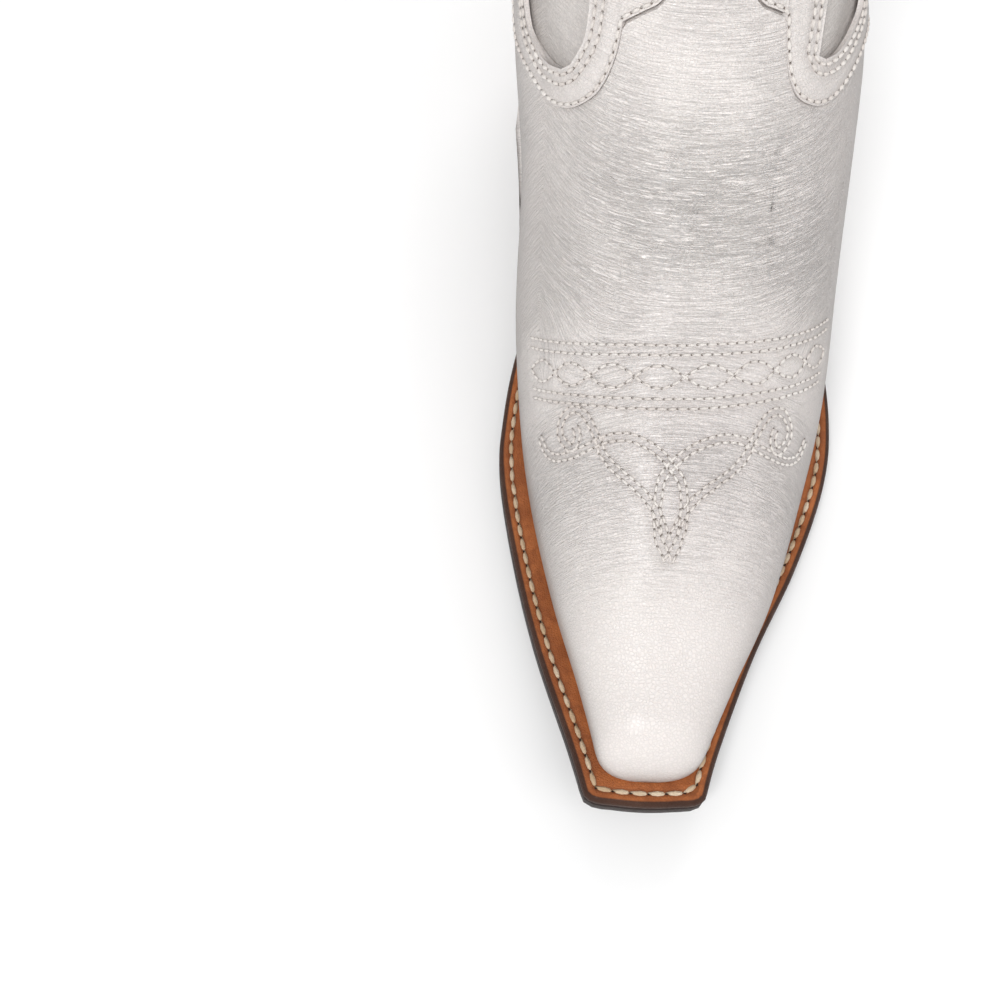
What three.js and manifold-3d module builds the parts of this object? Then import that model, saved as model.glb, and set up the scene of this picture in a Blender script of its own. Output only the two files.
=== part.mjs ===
// A left cowboy boot: snip toe, lobed vamp, two inlaid panels, stacked underslung heel.
// Millimetres, +Z up, the ground at z = 0, the toe towards -Y and the inner side towards -X.
import * as THREE from 'three';
import { mergeVertices } from 'three/addons/utils/BufferGeometryUtils.js';
import Module from 'manifold-3d';

const wasm = await Module();
wasm.setup();

// Driving dimensions.
const soleLength = 294; // outsole, toe to back
const ballWidth = 94; // outsole across the ball
const ankleWidth = 85; // upper across the ankle bones
const shaftTopWidth = 113; // shaft across the top
const bootHeight = 350; // ground to the shaft's side peaks
const heelHeight = 43; // ground to the outsole's underside at the back
const toeSpring = 10; // ground to the outsole's underside at the toe
const rimDip = 40; // how far the shaft's edge drops at front and back

// Leather and sole thicknesses.
const upperThickness = 1.4;
const stiffenerThickness = 0.9;
const liningThickness = 0.8;
const outsoleThickness = 4.8;
const weltThickness = 3.2;
const insoleThickness = 3.2;
const sockThickness = 1.5;
const shankThickness = 1.4;
const shankWidth = 16;
const weltSeat = 12; // how far the welt reaches in under the upper
const layerGap = 0.35; // between leathers that touch
const soleGap = 0.3; // between sole parts that touch
const seamGap = 0.05; // between panels along the upper, in station steps

// Trim.
const pipingWidth = 1.8;
const pipingFoot = 10.9; // station where the piping starts
const pipingStand = 1; // how far piping stands out of the shaft
const bindingThickness = 0.9;
const bindingDepth = 6; // how far the binding reaches down the shaft
const strapWidth = 25;
const strapThickness = 1.8;
const strapBow = 1.8; // room for the shaft's curve behind the flat strap
const strapRise = 21; // loop top above the shaft's side peak
const strapOuterReach = 46; // outer leg below the side peak
const strapInnerReach = 32; // inner leg below the side peak
const threadDiameter = 1.2;
const threadInset = 3.2; // welt seam in from the sole's edge

// Heel.
const heelBreast = 66; // y of the heel's front at the seat
const heelSeatHalfWidth = 28;
const heelBaseHalfWidth = 23.5;
const heelBackTuck = 16; // how far the back leans in towards the ground
const heelBreastTuck = 9; // how far the breast leans back towards the ground
const heelCapThickness = 6;
const liftThickness = 5.6;
const liftCount = 4;
const nailRadius = 1.2;
const nailClearance = 0.3;
const nailLength = heelHeight - 19;
const pegSize = 1.8;

// The sizes that the station table and the outlines are drawn at.
const patternLength = 294;
const patternBall = 94;
const patternAnkle = 85;
const patternTop = 113;
const patternHeight = 350;
const patternHeel = 43;
const patternSpring = 10;
const ballY = -45; // the sole touches the ground here

// Sections of the upper, from upright at the toe to level at the shaft's top. Each runs from
// a back point (yB, zB) to a front point (yF, zF), with half-widths to the inner and outer side,
// the centre's x, where along it the section is widest, and how square its front and back are.
const sectionKeys = ['yB', 'zB', 'yF', 'zF', 'inner', 'outer', 'x', 'widest', 'squareF', 'squareB'];
const sections = [
  [-143.6, 17, -143.6, 32, 11.6, 12.2, -5.5, 0.3, 2.3, 3],
  [-136, 15.4, -136, 34, 13.1, 14.3, -5.2, 0.3, 2.3, 3],
  [-119.6, 12.6, -119.6, 37.5, 18, 21, -4.4, 0.28, 2.3, 3.4],
  [-98, 9.8, -98, 44.6, 25.6, 29.9, -3, 0.26, 2.2, 3.8],
  [-71, 7.9, -71, 57.2, 33.3, 37.1, -1.4, 0.24, 2.1, 4],
  [-45, 7.8, -49, 71.5, 38.3, 42.1, 0, 0.24, 2, 4],
  [-15, 11.8, -28, 89.7, 41.1, 44.1, 1, 0.28, 2, 3.6],
  [20, 23, -9, 109.4, 40.8, 44.3, 1, 0.42, 2, 3.4],
  [60, 37.5, 8, 127.7, 42.7, 44.8, 0, 0.52, 2, 3.6],
  [100, 45.5, 19, 140, 41.9, 42.8, -0.5, 0.56, 2, 3.8],
  [134, 50, 25, 150, 42.3, 43, -0.5, 0.56, 2, 3],
  [141, 66, 27, 162, 42, 42.6, -0.5, 0.54, 2, 2.5],
  [137, 95, 27, 176, 43, 43.6, 0, 0.52, 2.05, 2.2],
  [129, 130, 26, 194, 44.7, 45.3, 0, 0.5, 2.1, 2.1],
  [125, 165, 24, 214, 46.3, 46.4, 0, 0.5, 2.15, 2.1],
  [127, 205, 19, 240, 49.1, 48.6, 0, 0.5, 2.2, 2.2],
  [132, 250, 14, 272, 52.3, 51.8, 0, 0.5, 2.2, 2.2],
  [137, 300, 9, 308, 55.1, 54.5, 0, 0.5, 2.2, 2.2],
  [140, 350, 6, 350, 56.7, 56.3, 0, 0.5, 2.2, 2.2],
];
const toeSections = 6; // the toe's cap rounds these off
const ankleSection = 11;
const heelSection = 10; // the section whose back point is the heel seat
const topSection = sections.length - 1;
const capLength = { width: 8, height: 13 };
const capSquare = { width: 3, height: 2.2 };

// Height of the welt's top above its height at the ball, drawn at the pattern's heel and spring.
const soleRise = [
  [-149.4, 10.9], [-120, 5.6], [-90, 1.4], [-65, 0], [-40, 0], [-15, 4],
  [20, 15.2], [60, 29.7], [100, 37.7], [145, 43.2],
];

// The sole's edge, x at each y, on the inner and the outer side.
const innerEdge = [
  [-146.6, -20.6], [-134, -24.2], [-108, -32.6], [-82, -38.9], [-56, -43.4], [-40, -43.3],
  [-18, -40], [8, -32], [30, -26], [50, -24], [70, -25.5], [90, -28], [108, -28], [126, -23.7],
];
const outerEdge = [
  [-146.6, 9], [-134, 13.3], [-108, 24.3], [-82, 37.5], [-56, 47.5], [-35, 50.6],
  [-12, 48.5], [12, 42], [32, 34.5], [50, 30.5], [70, 29], [90, 30], [108, 29.5], [126, 25],
];
const heelEnd = { y: 145, x: 0, shoulder: 139.5, halfWidth: 15 };
const toeEnd = { y: -149.4, middle: -5.6, halfWidth: 8.2 };

// Panel edges of the upper: station at each angle from the front centre line, in degrees.
const vampSeam = [[97, 9], [104, 8.7], [113, 8.5], [125, 8.33], [137, 8.2], [150, 8.1], [163, 8.05]];
const vampEdges = {
  medial: [
    [0, 8.5], [7, 7.98], [14, 7.65], [20, 7.57], [26, 7.52], [28, 7.35], [31, 7.18], [36, 7.07],
    [44, 7.03], [51, 7.06], [58, 7.18], [68, 7.49], [78, 7.75], [84, 7.95], [88, 8.25],
    [91, 8.7], [94, 9.2], ...vampSeam,
  ],
  lateral: [
    [0, 8.5], [7, 7.98], [15, 7.66], [19, 7.6], [23, 7.58], [25, 7.3], [27, 7.1], [31, 6.99],
    [37, 7.01], [44, 7.12], [51, 7.28], [60, 7.62], [68, 7.85], [77, 8], [84, 8.12], [88, 8.32],
    [91, 8.7], [94, 9.2], ...vampSeam,
  ],
};
const counterTop = [
  [94, 9.28], [97, 10.3], [103, 11], [115, 11.5], [132, 12], [155, 12.25], [180, 12.6],
];
const counterFoot = [[94, 9.2], ...vampSeam.slice(0, -2), [150, 8.45], [163, 9.1], [180, 9.85]];
const marginAngle = 163; // the upper is lasted under as far as this
const counterStart = 94.6;
const seamAngle = 90; // the shaft's side seams

// Inlay windows, one drop-shaped opening per side: station, then the angles of its two sides.
const windows = {
  medial: [
    [7.34, -50, -46], [7.45, -57, -41], [7.6, -62, -38.5], [7.9, -69, -37], [8.5, -73, -38],
    [9.4, -74, -41], [10.4, -72, -47], [11.4, -69, -54], [12.4, -65, -61],
  ],
  lateral: [
    [7.37, 36, 39], [7.5, 36.5, 46], [7.77, 37.5, 55], [8.05, 38.5, 62], [8.6, 40, 68],
    [9.4, 43, 71], [10.4, 48, 71], [11.4, 54, 69], [12.4, 60, 65],
  ],
};
const inlaySlack = 0.15; // the inlay is thinner than its space by this much on each face
const inlayMargin = 5; // degrees that the inlay reaches past its window's sides
const inlayMarginSteps = 0.12; // and stations past its two ends

const radians = THREE.MathUtils.degToRad;
const tidy = (value) => (Math.abs(value) < 1e-9 ? 0 : value);

// A point of a squared circle: how far across and how far along it an angle lies.
function squared(angle, square) {
  const sin = tidy(Math.sin(angle));
  const cos = tidy(Math.cos(angle));
  const power = 2 / square;
  return [Math.sign(sin) * Math.abs(sin) ** power, Math.sign(cos) * Math.abs(cos) ** power];
}

// Smooth height through a table of [place, value] pairs.
function follow(table, place) {
  let i = 0;
  while (i < table.length - 2 && place > table[i + 1][0]) i += 1;
  const [x0, v0] = table[i];
  const [x1, v1] = table[i + 1];
  const before = table[Math.max(i - 1, 0)];
  const after = table[Math.min(i + 2, table.length - 1)];
  const width = x1 - x0;
  const slope0 = ((v1 - before[1]) / (x1 - before[0])) * width;
  const slope1 = ((after[1] - v0) / (after[0] - x0)) * width;
  const t = THREE.MathUtils.clamp((place - x0) / width, 0, 1);
  const cube = t * t * t;
  const square = t * t;
  return v0 * (2 * cube - 3 * square + 1) + slope0 * (cube - 2 * square + t)
    + v1 * (3 * square - 2 * cube) + slope1 * (cube - square);
}

// Straight-line height through a table, for edges that have corners.
function followStraight(table, place) {
  let i = 0;
  while (i < table.length - 2 && place > table[i + 1][0]) i += 1;
  const [x0, v0] = table[i];
  const [x1, v1] = table[i + 1];
  const t = THREE.MathUtils.clamp((place - x0) / (x1 - x0), 0, 1);
  return v0 + (v1 - v0) * t;
}

// Grading: how the pattern's shape grows to the driving dimensions.
const lengthGrade = soleLength / patternLength;
const ballGrade = ballWidth / patternBall;
const soleStack = outsoleThickness + weltThickness + soleGap;
const patternStack = 8.3;

function weltTop(y) {
  const patternY = y / lengthGrade;
  const grade = patternY < ballY ? toeSpring / patternSpring : heelHeight / patternHeel;
  return soleStack + Math.max(follow(soleRise, patternY), 0) * grade;
}

function gradedSection(row, index) {
  const section = Object.fromEntries(sectionKeys.map((key, k) => [key, row[k]]));
  const climb = THREE.MathUtils.smoothstep(index, 4, ankleSection);
  const ankleGrade = ankleWidth / patternAnkle;
  const topGrade = shaftTopWidth / patternTop;
  const towardsTop = THREE.MathUtils.smoothstep(index, ankleSection + 2, topSection);
  const shaftGrade = THREE.MathUtils.lerp(ankleGrade, topGrade, towardsTop);
  const widthGrade = THREE.MathUtils.lerp(ballGrade, shaftGrade, climb);
  const heelLift = heelHeight - patternHeel;
  const stretch = (bootHeight - heelLift - patternHeight) / (patternHeight - 150);
  for (const end of ['B', 'F']) {
    const z = section[`z${end}`];
    const rise = weltTop(section[`y${end}`] * lengthGrade) - patternStack - soleRiseAt(section, end);
    const footLift = index < ankleSection ? rise : 0;
    const lift = THREE.MathUtils.lerp(footLift, heelLift + soleStack - patternStack, climb);
    section[`z${end}`] = z + lift + Math.max(z - 150, 0) * stretch * climb;
    section[`y${end}`] *= lengthGrade;
  }
  section.inner *= widthGrade;
  section.outer *= widthGrade;
  section.x *= widthGrade;
  return section;
}

function soleRiseAt(section, end) {
  return follow(soleRise, section[`y${end}`]);
}

const graded = sections.map(gradedSection);
const toeTip = graded[0].yB;

// The section at any station, by smooth interpolation; past the top it carries straight on.
function sectionAt(station) {
  const i = Math.min(Math.floor(Math.max(station, 0)), topSection - 1);
  const t = station - i;
  const result = {};
  for (const key of sectionKeys) {
    const a = graded[Math.max(i - 1, 0)][key];
    const b = graded[i][key];
    const c = graded[i + 1][key];
    const d = graded[Math.min(i + 2, topSection)][key];
    const slopeB = (c - a) / (i > 0 ? 2 : 1);
    const slopeC = (d - b) / (i + 2 <= topSection ? 2 : 1);
    result[key] = t > 1 ? c + slopeC * (t - 1)
      : b * (2 * t ** 3 - 3 * t * t + 1) + slopeB * (t ** 3 - 2 * t * t + t)
        + c * (3 * t * t - 2 * t ** 3) + slopeC * (t ** 3 - t * t);
  }
  return result;
}

// A quarter of a squared circle: 0 at 0, rising to 1 at 1.
function bulge(share, power) {
  const rest = 1 - THREE.MathUtils.clamp(share, 0, 1);
  return (1 - rest ** power) ** (1 / power);
}

// A point of the upper: station along the boot, angle round it, depth inside the outer skin.
function upperPoint(station, angle, depth) {
  const eased = station < 1 ? 1 - Math.cos((station * Math.PI) / 2) : station;
  const s = sectionAt(eased);
  const forward = THREE.MathUtils.clamp((ballY - s.yB) / (ballY - toeTip), 0, 1);
  s.yB += depth * forward;
  s.yF += depth * forward;
  if (eased <= heelSection) s.zB = weltTop(s.yB) + layerGap;
  const fromTip = eased < toeSections ? s.yB - toeTip - depth : Infinity;
  const across = bulge(fromTip / capLength.width, capSquare.width);
  const upward = bulge(fromTip / capLength.height, capSquare.height);
  const spanY = s.yF - s.yB;
  const spanZ = (s.zF - s.zB) * upward;
  const span = Math.hypot(spanY, spanZ);
  const inset = span > 0 ? Math.min(depth / span, 0.45) : 0;
  const [side, reach] = squared(angle, Math.cos(angle) >= 0 ? s.squareF : s.squareB);
  const along = s.widest + (reach > 0 ? 1 - s.widest : s.widest) * reach;
  const place = inset + along * (1 - 2 * inset);
  const half = Math.max((side < 0 ? s.inner : s.outer) * across - depth * Math.min(across * 2, 1), 0);
  const x = s.x + half * side;
  return new THREE.Vector3(x, s.yB + spanY * place, s.zB + spanZ * place);
}

// Drops the triangles that closed up to nothing and joins equal corners.
function closed(geometry) {
  geometry.deleteAttribute('normal');
  geometry.deleteAttribute('uv');
  const merged = mergeVertices(geometry, 1e-3);
  const kept = [];
  const index = merged.index.array;
  for (let i = 0; i < index.length; i += 3) {
    const [a, b, c] = [index[i], index[i + 1], index[i + 2]];
    if (a !== b && b !== c && c !== a) kept.push(a, b, c);
  }
  merged.setIndex(kept);
  return merged;
}

function solid(geometry) {
  const merged = closed(geometry);
  return new wasm.Manifold(new wasm.Mesh({
    numProp: 3,
    vertProperties: new Float32Array(merged.attributes.position.array),
    triVerts: new Uint32Array(merged.index.array),
  }));
}

function geometryOf(manifold) {
  const mesh = manifold.getMesh();
  const geometry = new THREE.BufferGeometry();
  geometry.setAttribute('position', new THREE.BufferAttribute(mesh.vertProperties, 3));
  geometry.setIndex(new THREE.BufferAttribute(mesh.triVerts, 1));
  return geometry;
}

// Stations of every skin's rings, close together where the upper bends.
const ringStations = [
  0, 0.4, 0.7, 1, 1.6, 2.4, 3.2, 4, 4.8, 5.6, 6.3, 7, 7.7, 8.4, 9.2, 10, 10.9, 11.9, 13.1,
  14.6, 16.4, 18.4,
];
const skinColumns = 30;

// A skin all over the upper between two depths. All skins share their rings and columns, so that
// one lies inside the next with an even gap.
function skin(outer, inner) {
  const rings = ringStations.length;
  const profile = Array.from({ length: 2 * rings + 1 }, (_, k) => new THREE.Vector2(1, k));
  const tube = new THREE.LatheGeometry(profile, skinColumns);
  const corners = tube.attributes.position;
  for (let i = 0; i < corners.count; i += 1) {
    const column = Math.floor(i / profile.length);
    const k = (i % profile.length) % (2 * rings);
    const station = ringStations[k < rings ? k : 2 * rings - 1 - k];
    const depth = k < rings ? outer(station) : inner(station);
    corners.setXYZ(i, ...upperPoint(station, (column / skinColumns) * Math.PI * 2, depth));
  }
  return solid(tube);
}

// The space inside the upper at a depth, filled from the toe to a station.
function core(depth) {
  const rings = ringStations.length;
  const profile = Array.from({ length: rings + 1 }, (_, k) => new THREE.Vector2(1, k));
  const body = new THREE.LatheGeometry(profile, skinColumns);
  const corners = body.attributes.position;
  for (let i = 0; i < corners.count; i += 1) {
    const column = Math.floor(i / profile.length);
    const k = i % profile.length;
    const angle = (column / skinColumns) * Math.PI * 2;
    const point = upperPoint(ringStations[Math.min(k, rings - 1)], angle, depth);
    if (k === rings) point.set(0, graded[topSection].yB / 2, point.z);
    corners.setXYZ(i, ...point);
  }
  return solid(body);
}

// A block of space round part of the upper's wall, between two edges, that cuts a panel from a skin.
function region(angles, from, to, rows = 10, outer = -4, inner = 9) {
  const columns = angles.length - 1;
  const box = new THREE.BoxGeometry(1, 1, 1, columns, rows, 1);
  const corners = box.attributes.position;
  for (let i = 0; i < corners.count; i += 1) {
    const angle = angles[Math.round((corners.getX(i) + 0.5) * columns)];
    const start = from(angle);
    const station = start + (to(angle) - start) * (corners.getY(i) + 0.5);
    const depth = corners.getZ(i) > 0 ? outer : inner;
    corners.setXYZ(i, ...upperPoint(station, radians(angle), depth));
  }
  return solid(box);
}

// Angles from one to another, with the skins' own columns between them.
function spread(from, to) {
  const step = 360 / skinColumns;
  const angles = [from];
  for (let angle = Math.ceil(from / step) * step; angle < to; angle += step) {
    if (angle > from + 1) angles.push(angle);
  }
  if (angles.at(-1) > to - 1) angles.pop();
  return [...angles, to];
}

const depthOf = (value) => () => value;
const middleDepth = upperThickness + layerGap;
const footLiningDepth = middleDepth + stiffenerThickness + layerGap;
const shaftLiningDepth = middleDepth;

// The lining lies deeper where a stiffener or an inlay stands between it and the outer leather.
function liningDepth(station) {
  const share = THREE.MathUtils.smoothstep(station, 13.4, 14.8);
  return THREE.MathUtils.lerp(footLiningDepth, shaftLiningDepth, share);
}

// Angle from the front centre line, 0 to 180 on either side.
function fold(angle) {
  return Math.abs(THREE.MathUtils.euclideanModulo(angle + 180, 360) - 180);
}

function vampTo(angle) {
  const side = angle < 0 || angle > 180 ? 'medial' : 'lateral';
  return followStraight(vampEdges[side], fold(angle));
}
const counterTo = (angle) => followStraight(counterTop, fold(angle));
const counterFrom = (angle) => followStraight(counterFoot, fold(angle)) + seamGap;
const frontFrom = (angle) => vampTo(angle) + seamGap;
const backFrom = (angle) => (fold(angle) < 94 ? vampTo(angle) : counterTo(angle)) + seamGap * 2;

// Columns at the corners of the vamp's edge, so that the panels beside it share them.
function edgeColumns(limit) {
  const inside = (edge) => edge.map(([angle]) => angle).filter((angle) => angle > 0 && angle < limit);
  const inner = inside(vampEdges.medial).map((angle) => -angle).reverse();
  return [-limit, ...inner, 0, ...inside(vampEdges.lateral), limit];
}

// Columns round the back, at the given angles on both sides of the heel line.
function backColumns(angles) {
  return [...angles, 180, ...angles.map((angle) => 360 - angle).reverse()];
}

// The shaft's scalloped top edge, less a distance below it.
function rim(angle, below = 0) {
  const lastRise = graded[topSection].zF - graded[topSection - 1].zF;
  const drop = rimDip * Math.cos(radians(angle)) ** 2 + below;
  return topSection - drop / lastRise;
}

const leather = new THREE.MeshStandardMaterial({ color: 0xe4dfdc, roughness: 0.45, metalness: 0 });
const insideLeather = new THREE.MeshStandardMaterial({ color: 0xcbb294, roughness: 0.7, metalness: 0 });
const fibre = new THREE.MeshStandardMaterial({ color: 0xb59a78, roughness: 0.85, metalness: 0 });
const weltTan = new THREE.MeshStandardMaterial({ color: 0x8a5030, roughness: 0.5, metalness: 0 });
const soleTan = new THREE.MeshStandardMaterial({ color: 0xa9764a, roughness: 0.55, metalness: 0 });
const heelBrown = new THREE.MeshStandardMaterial({ color: 0x4a2f20, roughness: 0.45, metalness: 0 });
const rubber = new THREE.MeshStandardMaterial({ color: 0x1d1b1a, roughness: 0.8, metalness: 0 });
const steel = new THREE.MeshStandardMaterial({ color: 0x8f9396, roughness: 0.35, metalness: 1 });
const brass = new THREE.MeshStandardMaterial({ color: 0xb08d57, roughness: 0.35, metalness: 1 });
const cork = new THREE.MeshStandardMaterial({ color: 0x9b744c, roughness: 0.9, metalness: 0 });
const peg = new THREE.MeshStandardMaterial({ color: 0xd9c08a, roughness: 0.8, metalness: 0 });
const cream = new THREE.MeshStandardMaterial({ color: 0xe6d6bd, roughness: 0.7, metalness: 0 });

const boot = new THREE.Group();

function place(name, shape, material) {
  const geometry = shape instanceof THREE.BufferGeometry ? closed(shape) : geometryOf(shape);
  const mesh = new THREE.Mesh(geometry, material);
  mesh.name = name;
  boot.add(mesh);
}

const toeY = toeEnd.y * lengthGrade;
const heelY = heelEnd.y * lengthGrade;
const breastY = heelBreast * lengthGrade;

// Upper: vamp, heel counter and shaft panels share the outer skin, edge to edge.
const outerSkin = skin(depthOf(0), depthOf(upperThickness));
const middleSkin = skin(depthOf(middleDepth), depthOf(middleDepth + stiffenerThickness));
const inlaySkin = skin(
  depthOf(middleDepth + inlaySlack), depthOf(middleDepth + stiffenerThickness - inlaySlack),
);
const liningSkin = skin(liningDepth, (station) => liningDepth(station) + liningThickness);
const seamHalf = THREE.MathUtils.radToDeg((pipingWidth / 2 + layerGap + 0.1) / (ankleWidth / 2));
const frontSeam = seamAngle - seamHalf;
const backSeam = seamAngle + seamHalf;
const beyond = depthOf(topSection + 1);

// The piece that a drop-shaped window takes out, between two depths.
function windowPiece(rows, margin = 0, marginSteps = 0) {
  const box = new THREE.BoxGeometry(1, 1, 1, 3, rows.length - 1, 1);
  const corners = box.attributes.position;
  for (let i = 0; i < corners.count; i += 1) {
    const row = Math.round((corners.getY(i) + 0.5) * (rows.length - 1));
    const [station, low, high] = rows[row];
    const past = row === 0 ? -marginSteps : row === rows.length - 1 ? marginSteps * 4 : 0;
    const angle = THREE.MathUtils.lerp(low - margin, high + margin, corners.getX(i) + 0.5);
    const depth = corners.getZ(i) > 0 ? -3 : 6;
    corners.setXYZ(i, ...upperPoint(station + past, radians(angle), depth));
  }
  return solid(box);
}

// Everything behind the vamp's edge.
function behindVamp(gap) {
  const from = (angle) => vampTo(angle) + gap;
  const front = region(edgeColumns(marginAngle), from, beyond, 10);
  const back = region(spread(marginAngle - 1, 361 - marginAngle), from, beyond, 10);
  return front.add(back);
}

// The opening between the lasted margins, under the foot.
function soleOpening(reach) {
  const slab = solePlate(-2, footLiningDepth + liningThickness + reach, toeY, heelY);
  return innerColumn(weltSeat - 1, toeY + 15, heelY - 17).intersect(slab);
}

// The corner under the toe's tip, where the inner leathers are cut short.
function toeCorner() {
  const corner = new THREE.BoxGeometry(60, 24, 24);
  return solid(corner.translate(0, toeTip - 5.5, weltTop(toeTip) - 7));
}

// All the space in front of a place along the boot.
function aheadOf(y) {
  return solid(new THREE.BoxGeometry(400, 1000, 1000).translate(0, y - 500, 0));
}

function vamp() {
  return outerSkin.subtract(behindVamp(0)).subtract(soleOpening(1));
}

function shaftFront() {
  const sheet = outerSkin.intersect(region(edgeColumns(frontSeam), frontFrom, rim));
  const cuts = Object.values(windows).map((rows) => windowPiece(rows));
  return sheet.subtract(cuts[0]).subtract(cuts[1]);
}

function shaftBack() {
  const angles = backColumns([backSeam, 94, 97, 103, 108, 115, 120, 132, 144, 156, 168]);
  return outerSkin.intersect(region(angles, backFrom, rim));
}

function counterCover() {
  const angles = backColumns([counterStart, 97, 103, 108, 115, 120, 132, 144, 156, 168]);
  return outerSkin.intersect(region(angles, counterFrom, counterTo)).subtract(soleOpening(1));
}

function counterStiffener() {
  const angles = backColumns([105, 108, 115, 120, 132, 144, 156, 168]);
  const from = (angle) => counterFrom(angle) + 0.2;
  const to = (angle) => counterTo(angle) - 0.35;
  return middleSkin.intersect(region(angles, from, to)).subtract(soleOpening(1));
}

function toeBox() {
  const from = (angle) => 3.3 - 0.9 * Math.sin(radians(Math.min(fold(angle), 90)));
  const front = region(spread(-150, 150), from, beyond, 14, -3, 6);
  const back = region(spread(149, 211), from, beyond, 14, -3, 6);
  return middleSkin.subtract(front).subtract(back).subtract(soleOpening(1)).subtract(toeCorner())
    .intersect(aheadOf(0));
}

// The linings are cut on simple lines: the foot's ends where the shaft's front half begins.
const liningJoin = [
  [0, 8.6], [84, 8.6], [96, 9], [108, 8.6], [120, 8.4], [132, 8.26], [144, 8.35], [156, 8.7],
  [168, 9.3], [180, 9.85],
];
const joinAt = (angle) => followStraight(liningJoin, fold(angle));

function footLining() {
  const front = region(spread(-marginAngle, marginAngle), joinAt, beyond, 10);
  const back = region(spread(marginAngle - 1, 361 - marginAngle), joinAt, beyond, 10);
  return liningSkin.subtract(front).subtract(back).subtract(soleOpening(1)).subtract(toeCorner())
    .intersect(aheadOf(heelY - 30));
}

function shaftLining(angles) {
  const from = (angle) => joinAt(angle) + seamGap * 2;
  return liningSkin.intersect(region(angles, from, rim, 10)).subtract(soleOpening(1));
}

place('vamp', vamp(), leather);
place('shaft_front', shaftFront(), leather);
place('shaft_back', shaftBack(), leather);
place('counter_cover', counterCover(), leather);
place('counter_stiffener', counterStiffener(), fibre);
place('toe_box', toeBox(), fibre);
place('vamp_lining', footLining(), insideLeather);
place('shaft_lining_front', shaftLining(spread(-seamAngle + 0.5, seamAngle - 0.5)), insideLeather);
place('shaft_lining_back', shaftLining(spread(seamAngle + 0.5, 359.5 - seamAngle)), insideLeather);
for (const [side, rows] of Object.entries(windows)) {
  place(`inlay_${side}`, inlaySkin.intersect(windowPiece(rows, inlayMargin, inlayMarginSteps)), leather);
}

// Piping down each side seam, from the vamp's corner to below the binding.
const pipingSkin = skin(depthOf(-pipingStand), depthOf(upperThickness));
function piping(side) {
  const reach = THREE.MathUtils.radToDeg(pipingWidth / 2 / (ankleWidth / 2));
  const middle = side * seamAngle;
  const to = (angle) => rim(angle, bindingDepth + 1);
  return pipingSkin.intersect(region([middle - reach, middle + reach], depthOf(pipingFoot), to, 10));
}
place('side_piping_medial', piping(-1), leather);
place('side_piping_lateral', piping(1), leather);

// Binding: a folded strip over the top edge of each half of the shaft.
const wallDepth = shaftLiningDepth + liningThickness + layerGap;
const bindingSkin = skin(depthOf(-layerGap - bindingThickness), depthOf(wallDepth + bindingThickness));
const wallSkin = skin(depthOf(-layerGap), depthOf(wallDepth));
function binding(first, last) {
  const angles = spread(first, last);
  const from = (angle) => rim(angle, bindingDepth);
  const over = region(angles, from, (angle) => rim(angle, -bindingThickness - layerGap * 3), 1);
  const wider = spread(first - 3, last + 3);
  const under = region(wider, () => 16, (angle) => rim(angle, -layerGap * 3), 2);
  return bindingSkin.intersect(over).subtract(wallSkin.intersect(under));
}
place('top_binding_front', binding(-frontSeam, frontSeam), leather);
place('top_binding_back', binding(backSeam, 360 - backSeam), leather);

// A solid between two heights that follow the sole, for a stretch of the boot's length.
function solePlate(low, high, start, end) {
  const steps = Math.max(4, Math.round((end - start) / 13));
  const outline = new THREE.Shape();
  for (let i = 0; i <= steps; i += 1) {
    const y = start + ((end - start) * i) / steps;
    if (i === 0) outline.moveTo(y, weltTop(y) + low);
    else outline.lineTo(y, weltTop(y) + low);
  }
  for (let i = steps; i >= 0; i -= 1) {
    const y = start + ((end - start) * i) / steps;
    outline.lineTo(y, weltTop(y) + high);
  }
  const plate = new THREE.ExtrudeGeometry(outline, { depth: 160, bevelEnabled: false });
  const sideways = new THREE.Matrix4().makeBasis(
    new THREE.Vector3(0, 1, 0), new THREE.Vector3(0, 0, 1), new THREE.Vector3(1, 0, 0),
  );
  plate.applyMatrix4(sideways).translate(-80, 0, 0);
  return solid(plate);
}

// The sole's outline in plan, scaled to the driving dimensions.
function edgePoints(edge) {
  return edge.map(([y, x]) => new THREE.Vector2(x * ballGrade, y * lengthGrade));
}

function soleOutline() {
  const shape = new THREE.Shape();
  const toeY = toeEnd.y * lengthGrade + 0.4;
  const left = (toeEnd.middle - toeEnd.halfWidth) * ballGrade;
  const right = (toeEnd.middle + toeEnd.halfWidth) * ballGrade;
  const outer = edgePoints(outerEdge);
  const inner = edgePoints(innerEdge).reverse();
  shape.moveTo(left, toeY);
  shape.quadraticCurveTo((left + right) / 2, toeY - 1, right, toeY);
  shape.quadraticCurveTo(outer[0].x - 1, toeY, outer[0].x, outer[0].y);
  const shoulder = heelEnd.shoulder * lengthGrade;
  const turn = [
    new THREE.Vector2(heelEnd.halfWidth, shoulder),
    new THREE.Vector2(heelEnd.x, heelEnd.y * lengthGrade),
    new THREE.Vector2(-heelEnd.halfWidth, shoulder),
  ];
  shape.splineThru([...outer.slice(1), ...turn, ...inner]);
  shape.quadraticCurveTo(inner.at(-1).x + 1, toeY, left, toeY);
  return shape;
}

function column(shape, divisions) {
  const settings = { depth: 90, bevelEnabled: false, curveSegments: divisions };
  const prism = new THREE.ExtrudeGeometry(shape, settings);
  return solid(prism.translate(0, 0, -10));
}

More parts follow.
